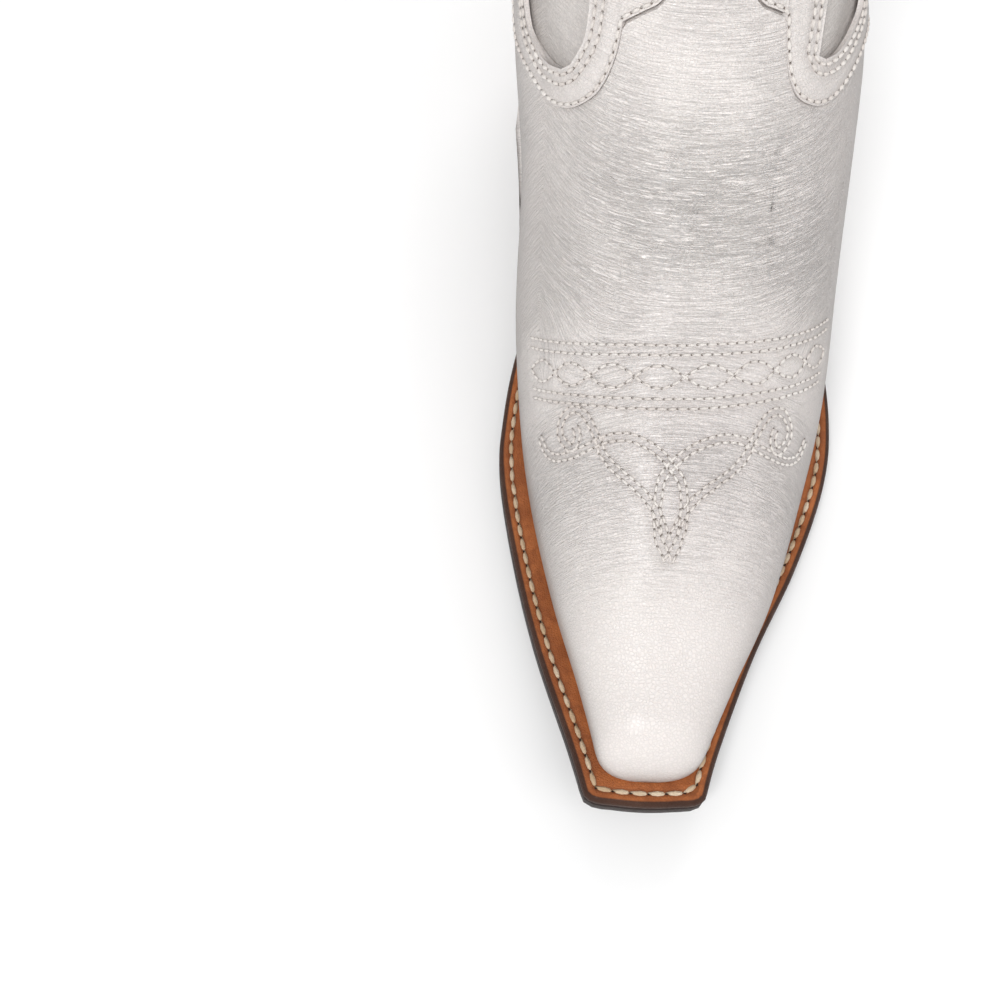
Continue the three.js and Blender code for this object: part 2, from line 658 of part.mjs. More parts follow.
// A column whose sides stand in from the sole's edge by a distance, for the cavity inside the welt.
function innerColumn(inset, start, end) {
  const shape = new THREE.Shape();
  const steps = 16;
  for (const [edge, side] of [[outerEdge, 1], [innerEdge, -1]]) {
    for (let i = 0; i <= steps; i += 1) {
      const share = side > 0 ? i / steps : 1 - i / steps;
      const y = start + (end - start) * share;
      const x = follow(edge, y / lengthGrade) * ballGrade - side * inset;
      if (side > 0 && i === 0) shape.moveTo(x, y);
      else shape.lineTo(x, y);
    }
  }
  return column(shape, 1);
}

const edgeColumn = column(soleOutline(), 2);
const wholeLength = [toeY - 5, heelY + 5];
const cavity = innerColumn(weltSeat, toeY + 16, heelY - 22);

function outsole() {
  const top = -weltThickness - soleGap;
  const plate = edgeColumn.intersect(solePlate(top - outsoleThickness, top, ...wholeLength));
  return pegPlaces.reduce((sole, point) => sole.subtract(pegAt(point, pegSize + 0.6, 20)), plate);
}

function weltPart(start, end) {
  const ring = edgeColumn.subtract(cavity);
  return ring.intersect(solePlate(-weltThickness, 0, start, end));
}

// Shank pegs: two rows through the outsole's waist.
const pegRows = [18, 36, 54];
const pegPlaces = pegRows.flatMap((y) => [[innerEdge, 1], [outerEdge, -1]].map(([edge, side]) => {
  const placeY = y * lengthGrade;
  return [follow(edge, y) * ballGrade + side * 7, placeY];
}));

function pegAt([x, y], size, height) {
  const middle = weltTop(y) - weltThickness - soleGap - outsoleThickness / 2;
  return solid(new THREE.BoxGeometry(size, size, height).translate(x, y, middle));
}

place('outsole', outsole(), soleTan);
place('welt', weltPart(toeY - 5, breastY - 4), weltTan);
place('heel_rand', weltPart(breastY - 3.6, heelY + 5), weltTan);
pegPlaces.forEach((point, i) => {
  place(`shank_peg_${i + 1}`, pegAt(point, pegSize, outsoleThickness - 1), peg);
});

// Cork filler in the welt's cavity, with the steel shank let into it.
const shankStart = 4 * lengthGrade;
const shankEnd = 98 * lengthGrade;
function shankBar(grow) {
  const width = shankWidth + 2 * grow;
  const bar = new THREE.BoxGeometry(width, shankEnd - shankStart + 2 * grow, 90);
  bar.translate(2 * ballGrade, (shankStart + shankEnd) / 2, 40);
  const top = -soleGap;
  return solid(bar).intersect(solePlate(top - shankThickness - grow, top + grow, shankStart - 5, shankEnd + 5));
}

function corkFiller() {
  const inside = innerColumn(weltSeat + soleGap, toeY + 16 + soleGap, heelY - 22 - soleGap);
  const slab = inside.intersect(solePlate(-weltThickness, -soleGap, toeY, heelY));
  return slab.subtract(shankBar(soleGap));
}
place('cork_filler', corkFiller(), cork);
place('shank', shankBar(0), steel);

// Insole and sock lie inside the lining, on the lasted margins.
const insideSpace = core(footLiningDepth + liningThickness + layerGap + 0.15);
function insideFoot(low, high) {
  return insideSpace.intersect(solePlate(low, high, toeY + 14, heelY - 5));
}
const insoleFoot = layerGap + footLiningDepth + liningThickness + layerGap;
const insoleTop = insoleFoot + insoleThickness;
const sockFoot = insoleTop + soleGap;
place('insole', insideFoot(insoleFoot, insoleTop), fibre);
place('sock_lining', insideFoot(sockFoot, sockFoot + sockThickness), insideLeather);

// Heel: lifts, nails and a rubber cap cut from one tapering block.
const seatZ = (y) => weltTop(y) - weltThickness - soleGap - outsoleThickness - soleGap;

function heelBlock() {
  const height = heelHeight + 12;
  const block = new THREE.CylinderGeometry(1, 1, 1, 22, 7);
  const corners = block.attributes.position;
  for (let i = 0; i < corners.count; i += 1) {
    const z = (corners.getY(i) + 0.5) * height;
    const share = z / heelHeight;
    const radius = Math.hypot(corners.getX(i), corners.getZ(i));
    const angle = Math.atan2(corners.getX(i), -corners.getZ(i));
    const back = heelY - 1 - heelBackTuck * (1 - Math.min(share, 1.2) ** 1.5);
    const front = breastY + heelBreastTuck * (1 - share ** 0.8);
    const half = THREE.MathUtils.lerp(heelBaseHalfWidth, heelSeatHalfWidth, share);
    const middle = front + (back - front) * 0.45;
    const [across, along] = squared(angle, Math.cos(angle) > 0 ? 2.4 : 7);
    const reach = along > 0 ? back - middle : middle - front;
    corners.setXYZ(i, radius * half * across, middle + radius * reach * along, z);
  }
  return solid(block).intersect(solePlate(-200, -soleStack - soleGap, breastY - 20, heelY + 20));
}

function layer(block, low, high) {
  const box = new THREE.BoxGeometry(120, 200, high - low);
  return block.intersect(solid(box.translate(0, heelY - 40, (low + high) / 2)));
}

const nailPlaces = [[-14, 88], [14, 88], [-15, 108], [15, 108], [0, 121]];
const nailFoot = heelCapThickness + soleGap + 1;
function nail([x, y], radius, length) {
  const shape = new THREE.CylinderGeometry(radius, radius, length, 6);
  shape.rotateX(Math.PI / 2);
  return solid(shape.translate(x, y * lengthGrade, nailFoot + nailLength / 2));
}

const drilled = nailPlaces.reduce(
  (block, point) => block.subtract(nail(point, nailRadius + nailClearance, nailLength + 2 * nailClearance)),
  heelBlock(),
);
place('heel_cap', layer(drilled, 0, heelCapThickness), rubber);
for (let i = 0; i < liftCount; i += 1) {
  const low = heelCapThickness + soleGap + i * (liftThickness + soleGap);
  const top = i === liftCount - 1 ? heelHeight + 20 : low + liftThickness;
  place(`heel_lift_${i + 1}`, layer(drilled, low, top), heelBrown);
}
nailPlaces.forEach((point, i) => place(`heel_nail_${i + 1}`, nail(point, nailRadius, nailLength), brass));

// The visible seam that holds the welt: one thread laid on its top, following the sole's edge.
function weltThread() {
  const points = [];
  const ends = [-28, 20];
  const along = (edge, side, y) => {
    const x = follow(edge, y) * ballGrade - side * threadInset;
    const placeY = y * lengthGrade;
    return new THREE.Vector3(x, placeY, weltTop(placeY) + layerGap + threadDiameter / 2);
  };
  for (let y = ends[0]; y > -138; y -= 6) points.push(along(innerEdge, -1, y));
  for (const share of [0, 0.5, 1]) {
    const x = (toeEnd.middle + (share - 0.5) * 2 * (toeEnd.halfWidth - 0.5)) * ballGrade;
    const y = toeY + threadInset;
    points.push(new THREE.Vector3(x, y, weltTop(y) + layerGap + threadDiameter / 2));
  }
  for (let y = -138; y < ends[1]; y += 6) points.push(along(outerEdge, 1, y));
  const path = new THREE.CatmullRomCurve3(points, false, 'centripetal');
  const circle = new THREE.Shape().absarc(0, 0, threadDiameter / 2, 0, Math.PI * 2);
  const settings = { steps: 64, curveSegments: 3, extrudePath: path, bevelEnabled: false };
  return new THREE.ExtrudeGeometry(circle, settings);
}
place('welt_thread', weltThread(), cream);

// Pull straps: a folded loop over the top edge at each side seam.
function pullStrap(side) {
  const peak = graded[topSection].zF;
  const outerGap = layerGap + bindingThickness + layerGap + 0.3;
  const innerGap = wallDepth + bindingThickness + layerGap + strapBow;
  const half = side < 0 ? graded[topSection].inner : graded[topSection].outer;
  const lower = upperPoint(rim(seamAngle, strapOuterReach), side * Math.PI / 2, 0);
  const lean = (Math.abs(lower.x) - half) / strapOuterReach;
  const outerX = half + outerGap;
  const innerX = half - innerGap;
  const legRadius = (outerX - innerX) / 2;
  const centre = (outerX + innerX) / 2;
  const top = peak + strapRise - legRadius - strapThickness;
  const t = strapThickness;
  const shape = new THREE.Shape();
  shape.moveTo(outerX + lean * strapOuterReach + pipingStand, peak - strapOuterReach);
  shape.lineTo(outerX + t + lean * strapOuterReach + pipingStand, peak - strapOuterReach);
  shape.lineTo(outerX + t, top);
  shape.absarc(centre, top, legRadius + t, 0, Math.PI, false);
  shape.lineTo(innerX - t + lean * strapInnerReach, peak - strapInnerReach);
  shape.lineTo(innerX + lean * strapInnerReach, peak - strapInnerReach);
  shape.lineTo(innerX, top);
  shape.absarc(centre, top, legRadius, Math.PI, 0, true);
  const settings = { depth: strapWidth, bevelEnabled: false, curveSegments: 8 };
  const loop = new THREE.ExtrudeGeometry(shape, settings);
  loop.rotateX(Math.PI / 2);
  if (side < 0) loop.rotateZ(Math.PI);
  const middle = upperPoint(rim(seamAngle, 5), side * Math.PI / 2, 0).y;
  return loop.translate(0, middle + (side > 0 ? 1 : -1) * strapWidth / 2, 0);
}
place('pull_strap_medial', pullStrap(-1), leather);
place('pull_strap_lateral', pullStrap(1), leather);

export default boot;
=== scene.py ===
import math

import bmesh
import bpy
import numpy as np
from mathutils import Matrix, Vector, kdtree
from mathutils.bvhtree import BVHTree


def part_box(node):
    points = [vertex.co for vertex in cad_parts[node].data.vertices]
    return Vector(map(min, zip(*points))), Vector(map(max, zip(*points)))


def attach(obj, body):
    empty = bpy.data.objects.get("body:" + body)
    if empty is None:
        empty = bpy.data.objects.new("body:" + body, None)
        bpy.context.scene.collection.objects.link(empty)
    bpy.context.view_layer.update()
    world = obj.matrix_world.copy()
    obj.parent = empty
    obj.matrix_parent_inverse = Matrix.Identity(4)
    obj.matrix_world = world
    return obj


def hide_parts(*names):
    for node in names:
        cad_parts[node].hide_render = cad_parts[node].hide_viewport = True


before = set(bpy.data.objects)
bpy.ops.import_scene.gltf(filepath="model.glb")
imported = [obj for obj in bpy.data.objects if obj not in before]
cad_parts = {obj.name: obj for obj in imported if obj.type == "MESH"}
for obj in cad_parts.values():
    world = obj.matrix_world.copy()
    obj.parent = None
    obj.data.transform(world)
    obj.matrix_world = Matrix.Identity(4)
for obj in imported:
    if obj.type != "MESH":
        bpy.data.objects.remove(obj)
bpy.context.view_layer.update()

mm = 0.001

# The upper's pattern in millimetres: sections from upright at the toe (0) to level at the shaft's top (18).
# Each is yB, zB, yF, zF, inner, outer, x, widest, squareF, squareB.
sections = np.array([
    [-143.6, 17, -143.6, 32, 11.6, 12.2, -5.5, 0.3, 2.3, 3],
    [-136, 15.4, -136, 34, 13.1, 14.3, -5.2, 0.3, 2.3, 3],
    [-119.6, 12.6, -119.6, 37.5, 18, 21, -4.4, 0.28, 2.3, 3.4],
    [-98, 9.8, -98, 44.6, 25.6, 29.9, -3, 0.26, 2.2, 3.8],
    [-71, 7.9, -71, 57.2, 33.3, 37.1, -1.4, 0.24, 2.1, 4],
    [-45, 7.8, -49, 71.5, 38.3, 42.1, 0, 0.24, 2, 4],
    [-15, 11.8, -28, 89.7, 41.1, 44.1, 1, 0.28, 2, 3.6],
    [20, 23, -9, 109.4, 40.8, 44.3, 1, 0.42, 2, 3.4],
    [60, 37.5, 8, 127.7, 42.7, 44.8, 0, 0.52, 2, 3.6],
    [100, 45.5, 19, 140, 41.9, 42.8, -0.5, 0.56, 2, 3.8],
    [134, 50, 25, 150, 42.3, 43, -0.5, 0.56, 2, 3],
    [141, 66, 27, 162, 42, 42.6, -0.5, 0.54, 2, 2.5],
    [137, 95, 27, 176, 43, 43.6, 0, 0.52, 2.05, 2.2],
    [129, 130, 26, 194, 44.7, 45.3, 0, 0.5, 2.1, 2.1],
    [125, 165, 24, 214, 46.3, 46.4, 0, 0.5, 2.15, 2.1],
    [127, 205, 19, 240, 49.1, 48.6, 0, 0.5, 2.2, 2.2],
    [132, 250, 14, 272, 52.3, 51.8, 0, 0.5, 2.2, 2.2],
    [137, 300, 9, 308, 55.1, 54.5, 0, 0.5, 2.2, 2.2],
    [140, 350, 6, 350, 56.7, 56.3, 0, 0.5, 2.2, 2.2],
], float)
upper = {
    "toeSections": 6, "heelSection": 10, "topSection": 18,
    "capWidth": 8, "capHeight": 13, "capSquareWidth": 3, "capSquareHeight": 2.2,
    "ballY": -45, "toeTip": -143.6,
    "gap": 0.35,
}
soleRise = [
    (-149.4, 10.9), (-120, 5.6), (-90, 1.4), (-65, 0), (-40, 0), (-15, 4),
    (20, 15.2), (60, 29.7), (100, 37.7), (145, 43.2),
]
soleStack = 8.3


def follow(table, place):
    # smooth height through a table of (place, value) pairs
    xs, vs = np.array(table, float).T
    place = np.asarray(place, float)
    i = np.clip(np.searchsorted(xs, place, side="left") - 1, 0, len(xs) - 2)
    before, after = np.maximum(i - 1, 0), np.minimum(i + 2, len(xs) - 1)
    width = xs[i + 1] - xs[i]
    slope0 = (vs[i + 1] - vs[before]) / (xs[i + 1] - xs[before]) * width
    slope1 = (vs[after] - vs[i]) / (xs[after] - xs[i]) * width
    t = np.clip((place - xs[i]) / width, 0, 1)
    return (vs[i] * (2 * t**3 - 3 * t**2 + 1) + slope0 * (t**3 - 2 * t**2 + t)
            + vs[i + 1] * (3 * t**2 - 2 * t**3) + slope1 * (t**3 - t**2))


def weltTop(y):
    return soleStack + np.maximum(follow(soleRise, y), 0)


def smooth(value, low, high):
    t = np.clip((value - low) / (high - low), 0, 1)
    return t * t * (3 - 2 * t)


def bulge(share, power):
    rest = 1 - np.clip(share, 0, 1)
    return (1 - rest**power) ** (1 / power)


def sectionAt(station):
    top = upper["topSection"]
    i = np.clip(np.floor(station), 0, top - 1).astype(int)
    t = (station - i)[:, None]
    a, b, c, d = (sections[np.clip(i + k, 0, top)] for k in (-1, 0, 1, 2))
    slopeB = (c - a) / np.where(i > 0, 2, 1)[:, None]
    slopeC = (d - b) / np.where(i + 2 <= top, 2, 1)[:, None]
    inside = (b * (2 * t**3 - 3 * t**2 + 1) + slopeB * (t**3 - 2 * t**2 + t)
              + c * (3 * t**2 - 2 * t**3) + slopeC * (t**3 - t**2))
    return np.where(t > 1, c + slopeC * (t - 1), inside).T.copy()


def upperPoints(station, angle, depth=0):
    # points of the upper: station along the boot, degrees round it, millimetres inside its outer skin
    station, angle, depth = (a.astype(float).ravel() for a in np.broadcast_arrays(station, angle, depth))
    eased = np.where(station < 1, 1 - np.cos(station * math.pi / 2), station)
    yB, zB, yF, zF, inner, outer, x, widest, squareF, squareB = sectionAt(eased)
    tip, ball = upper["toeTip"], upper["ballY"]
    forward = np.clip((ball - yB) / (ball - tip), 0, 1)
    yB, yF = yB + depth * forward, yF + depth * forward
    zB = np.where(eased <= upper["heelSection"], weltTop(yB) + upper["gap"], zB)
    fromTip = np.where(eased < upper["toeSections"], yB - tip - depth, 1e6)
    across = bulge(fromTip / upper["capWidth"], upper["capSquareWidth"])
    upward = bulge(fromTip / upper["capHeight"], upper["capSquareHeight"])
    spanY, spanZ = yF - yB, (zF - zB) * upward
    span = np.maximum(np.hypot(spanY, spanZ), 1e-6)
    inset = np.minimum(depth / span, 0.45)
    sin, cos = np.sin(np.radians(angle)), np.cos(np.radians(angle))
    power = 2 / np.where(cos >= 0, squareF, squareB)
    side = np.sign(sin) * np.abs(sin) ** power
    reach = np.sign(cos) * np.abs(cos) ** power
    along = widest + np.where(reach > 0, 1 - widest, widest) * reach
    place = inset + along * (1 - 2 * inset)
    half = np.where(side < 0, inner, outer) * across - depth * np.minimum(across * 2, 1)
    return np.stack([x + np.maximum(half, 0) * side, yB + spanY * place, zB + spanZ * place], 1)


def rim(angle, below=0):
    # the shaft's scalloped top edge, less a distance below it
    lastRise = sections[-1][3] - sections[-2][3]
    return upper["topSection"] - (40 * np.cos(np.radians(angle)) ** 2 + below) / lastRise


def lengthAlong(points):
    # how far along a line each of its points is
    return np.concatenate([[0], np.cumsum(np.linalg.norm(np.diff(points, axis=0), axis=1))])


def curveThrough(points, count):
    # a smooth line through points, without the last of them
    pts = np.array(points, float)
    line = []
    for i in range(len(pts) - 1):
        a, b, c, d = pts[max(i - 1, 0)], pts[i], pts[i + 1], pts[min(i + 2, len(pts) - 1)]
        for t in np.linspace(0, 1, count, endpoint=False):
            bend = (2 * a - 5 * b + 4 * c - d) * t * t + (3 * b - 3 * c + d - a) * t**3
            line.append(0.5 * (2 * b + (c - a) * t + bend))
    return line


def chain(points, step):
    # a smooth line through points, in even steps along its own length
    dense = curveThrough(points, 12) + [np.array(points[-1], float)]
    return evenSteps(np.array(dense), step)


def evenSteps(line, step):
    # the line (angle, station) resampled in equal steps, in millimetres on the skin
    places = upperPoints(line[:, 1], line[:, 0])
    gone = lengthAlong(places)
    count = max(2, round(gone[-1] / step) + 1)
    at = np.linspace(0, gone[-1], count)
    return np.stack([np.interp(at, gone, line[:, k]) for k in (0, 1)], 1)


def shifted(line, distance):
    # the line moved sideways on the skin, by a distance that may vary along it
    angle, station = line[:, 0], line[:, 1]
    here = upperPoints(station, angle)
    perDegree = upperPoints(station, angle + 0.5) - upperPoints(station, angle - 0.5)
    perStation = (upperPoints(station + 0.01, angle) - upperPoints(station - 0.01, angle)) / 0.02
    along = np.gradient(here, axis=0)
    along /= np.maximum(np.linalg.norm(along, axis=1), 1e-9)[:, None]
    normal = np.cross(perDegree, perStation)
    normal /= np.maximum(np.linalg.norm(normal, axis=1), 1e-9)[:, None]
    move = np.cross(normal, along) * np.broadcast_to(distance, angle.shape)[:, None]
    result = line.copy()
    for k in range(len(line)):
        frameOfSkin = np.stack([perDegree[k], perStation[k]], 1)
        result[k] += np.linalg.lstsq(frameOfSkin, move[k], rcond=None)[0]
    return result


print("stage: patterns")

# Panel edges as (angle, station), the inner side negative; corners join the smooth stretches.
lobes = {
    "medial": [
        [(-163, 8.05), (-137, 8.2), (-113, 8.5), (-100, 8.85), (-94, 9.2)],
        [(-94, 9.2), (-90, 8.5), (-84, 7.95), (-78, 7.73), (-68, 7.46), (-58, 7.19), (-51, 7.07),
         (-44, 7.01), (-37, 7.03), (-33, 7.11), (-30, 7.23), (-28, 7.36), (-26.4, 7.53)],
        [(-26.4, 7.53), (-20, 7.58), (-14, 7.66), (-7, 7.98), (0, 8.5)],
    ],
    "lateral": [
        [(0, 8.5), (7, 7.98), (14, 7.67), (18.5, 7.62), (22.6, 7.6)],
        [(22.6, 7.6), (22.8, 7.46), (23.4, 7.3), (25, 7.13), (28.6, 7.0), (33.6, 6.98), (39, 7.02),
         (46, 7.15), (55, 7.4), (65, 7.69), (77, 8.0), (84, 8.12), (90, 8.55), (94, 9.2)],
        [(94, 9.2), (100, 8.85), (113, 8.5), (137, 8.2), (163, 8.05)],
    ],
}
counterTop = [(94, 9.28), (97, 10.3), (103, 11), (115, 11.5), (132, 12), (155, 12.25), (180, 12.6)]
counterFoot = [(94, 9.25), (104, 8.75), (125, 8.38), (137, 8.25), (150, 8.5), (163, 9.15), (180, 9.9)]
windows = {
    "medial": [
        (7.34, -50, -46), (7.45, -57, -41), (7.6, -62, -38.5), (7.9, -69, -37), (8.5, -73, -38),
        (9.4, -74, -41), (10.4, -72, -47), (11.4, -69, -54), (12.4, -65, -61),
    ],
    "lateral": [
        (7.37, 36, 39), (7.5, 36.5, 46), (7.77, 37.5, 55), (8.05, 38.5, 62), (8.6, 40, 68),
        (9.4, 43, 71), (10.4, 48, 71), (11.4, 54, 69), (12.4, 60, 65),
    ],
}
seamHalf = 0.6  # the least number of degrees between a side seam and the panel beside it
seamGap = 0.75  # and the millimetres between them
liningJoin = [
    (0, 8.6), (84, 8.6), (96, 9), (108, 8.6), (120, 8.4), (132, 8.26), (144, 8.35), (156, 8.7), (168, 9.3),
    (180, 9.85),
]


def degreeWidth(station, angle):
    # millimetres on the skin for one degree
    return np.linalg.norm(upperPoints(station, angle + 0.5) - upperPoints(station, angle - 0.5), axis=1)


def seamDegrees(station, side):
    # the seam's gap in degrees, which shrinks where the upper is long from front to back
    return seamGap / degreeWidth(station, 90.0 * side)


edgeStretches = [chain(stretch, 0.8) for side in ("medial", "lateral") for stretch in lobes[side]]
vampEdge = np.concatenate([edgeStretches[0], *[stretch[1:] for stretch in edgeStretches[1:]]])
sideEdge = np.concatenate([edgeStretches[1], *[stretch[1:] for stretch in edgeStretches[2:5]]])
footEdge = sideEdge[np.abs(sideEdge[:, 0]) < 90 - seamHalf]


def windowRows(side, v):
    # station and the two angles of a window at shares of its height
    rows = np.array(windows[side])
    place = np.linspace(0, 1, len(rows))
    return [follow(np.stack([place, rows[:, k]], 1), v) for k in range(3)]


def windowLoop(side):
    # once round the window, from its foot up one side and down the other
    v = np.linspace(0, 1, 80)
    station, low, high = windowRows(side, v)
    up = np.stack([low, station], 1)
    down = np.stack([high, station], 1)[::-1]
    return evenSteps(np.concatenate([up, down, up[:1]]), 0.8)


# Ornament: every row of stitches as a line of (angle, station), with the step between its needle holes.
band = {
    "levels": (4.85, 4.76, 4.36, 4.27), "chain": 4.56, "centre": -2, "ends": (-67, 62.5),
    "sag": (1.4e-4, 1.85e-4), "lenses": 8, "lensHeight": 2.8, "pitch": 2.5,
}
toeBug = {
    "centre": (1.2, -2.0), "rowGap": 0.85, "pitch": 2.15,
    "curl": [(41, 4.27), (40.2, 4.16), (44.5, 4.09), (49.5, 4.27), (48, 4.4), (42.3, 4.46), (36, 4.36),
             (30.7, 4.09), (28.1, 3.93), (23.6, 3.81), (17.2, 3.69), (10.5, 3.57), (5.4, 3.45), (0.4, 3.2)],
    "tail": [(63, 4.4), (60, 4.21), (54, 4.09), (45.2, 4.04), (36.8, 4.04), (30.8, 4.06), (24.2, 4.07),
             (17.2, 4.05), (8.9, 3.96), (3.3, 3.87), (-0.7, 3.77), (-3.4, 3.68), (-4.6, 3.57),
             (-4.9, 3.45), (-4.2, 3.28), (0, 3.04)],
}
panelRows = {"pitch": 2.5, "edgeInset": 0.7, "windowInsets": (1.5, 3.6), "counterInsets": (1.3, 3.3)}
shaftMotif = {
    "pitch": 2.6, "rowGap": 2.3,
    "front": [(0, 9.6), (9, 10.6), (22, 11.9), (30, 13.2), (24, 14.3), (10, 14.9), (3, 15.6), (12, 16.3),
              (34, 16.6)],
    "frontInner": [(0, 11), (8, 12), (14, 13.2), (6, 14.0), (0, 14.35)],
    "side": [(86, 12.9), (70, 13.6), (56, 14.3), (62, 15.1), (74, 15.5), (66, 16.3), (80, 17.0),
             (86.5, 17.2)],
    "back": [(180, 13.3), (170, 14.0), (156, 14.7), (148, 15.4), (158, 16.0), (172, 16.2), (176, 16.8),
             (160, 17.2), (142, 17.3)],
    "backInner": [(180, 14.2), (172, 14.8), (166, 15.4), (174, 15.7), (180, 15.85)],
}


def bandRow(level):
    angle = np.linspace(*band["ends"], 60)
    away = angle - band["centre"]
    sag = np.where(away < 0, *band["sag"]) * away**2
    return evenSteps(np.stack([angle, level + sag], 1), 0.8)


def lensRows():
    middle = bandRow(band["chain"])
    wave = np.sin(np.linspace(0, band["lenses"] * math.pi, len(middle))) * band["lensHeight"]
    return [shifted(middle, wave), shifted(middle, -wave)]


def bugRows(points, side):
    offset, station = np.array(points, float).T
    centre = toeBug["centre"][0] + toeBug["centre"][1] * (station - 3)
    line = chain(np.stack([centre + side * offset, station], 1), 0.6)
    return [shifted(line, gap) for gap in (-toeBug["rowGap"], toeBug["rowGap"])]


def motifRows(points, side):
    line = chain([(side * angle, station) for angle, station in points], 0.8)
    return [shifted(line, shaftMotif["rowGap"] * k) for k in (-1, 0, 1)]


def closedRow(line):
    return evenSteps(np.concatenate([line, line[:1]]), 0.8)


def belowEdge(table, side, inset):
    angle = np.linspace(97 if inset < 2 else 98.5, 180, 90)
    line = np.stack([side * angle, follow(table, angle)], 1)
    return shifted(evenSteps(line, 0.8), side * inset)


stitchRows = {
    "vamp": [(bandRow(level), band["pitch"]) for level in band["levels"]]
    + [(row, band["pitch"]) for row in lensRows()]
    + [(row, toeBug["pitch"]) for side in (-1, 1) for key in ("curl", "tail")
       for row in bugRows(toeBug[key], side)],
    "shaftFront": [(shifted(footEdge[1:-1], panelRows["edgeInset"]), panelRows["pitch"])]
    + [(closedRow(shifted(windowLoop(side), inset)), panelRows["pitch"])
       for side in windows for inset in panelRows["windowInsets"]]
    + [(row, shaftMotif["pitch"]) for key in ("front", "frontInner", "side") for side in (-1, 1)
       for row in motifRows(shaftMotif[key], side)],
    "shaftBack": [(row, shaftMotif["pitch"]) for key in ("back", "backInner") for side in (-1, 1)
                  for row in motifRows(shaftMotif[key], side)],
    "counter": [(belowEdge(counterTop, side, inset), panelRows["pitch"])
                for side in (-1, 1) for inset in panelRows["counterInsets"]],
}


def seamTree(key):
    # every place under a row of stitches, to pull the leather down along it and to paint shade along it
    places = np.concatenate([upperPoints(line[:, 1], line[:, 0]) for line, pitch in stitchRows[key]])
    tree = kdtree.KDTree(len(places))
    for i, place in enumerate(places):
        tree.insert(place, i)
    tree.balance()
    return tree


def seamDistance(tree, points):
    return np.array([tree.find(p)[2] for p in points])


print("stage: materials")


def srgb(red, green, blue):
    shares = (c / 255 for c in (red, green, blue))
    return tuple(((c + 0.055) / 1.055) ** 2.4 if c > 0.04 else c / 12.92 for c in shares) + (1,)


def newGroup(name, inputs, outputs):
    tree = bpy.data.node_groups.new(name, "ShaderNodeTree")
    for label, kind, value in inputs:
        socket = tree.interface.new_socket(label, in_out="INPUT", socket_type=kind)
        if value is not None:
            socket.default_value = value
    for label, kind in outputs:
        tree.interface.new_socket(label, in_out="OUTPUT", socket_type=kind)
    return tree, tree.nodes.new("NodeGroupInput"), tree.nodes.new("NodeGroupOutput")


def addNode(tree, kind, values=None, **settings):
    node = tree.nodes.new(kind)
    for key, value in settings.items():
        setattr(node, key, value)
    for key, value in (values or {}).items():
        if isinstance(value, bpy.types.NodeSocket):
            tree.links.new(value, node.inputs[key])
        else:
            node.inputs[key].default_value = value
    return node


def math2(tree, operation, a, b=0.0, clamp=False):
    return addNode(tree, "ShaderNodeMath", {0: a, 1: b}, operation=operation, use_clamp=clamp).outputs[0]


def blendColour(tree, factor, a, b, blend="MIX"):
    values = {0: factor, 6: a, 7: b}
    return addNode(tree, "ShaderNodeMix", values, data_type="RGBA", blend_type=blend).outputs[2]


def noiseMask(tree, vector, scale, detail, low, high):
    noise = addNode(tree, "ShaderNodeTexNoise", {"Vector": vector, "Scale": scale, "Detail": detail})
    return addNode(tree, "ShaderNodeMapRange", {0: noise.outputs[0], 1: low, 2: high}).outputs[0]


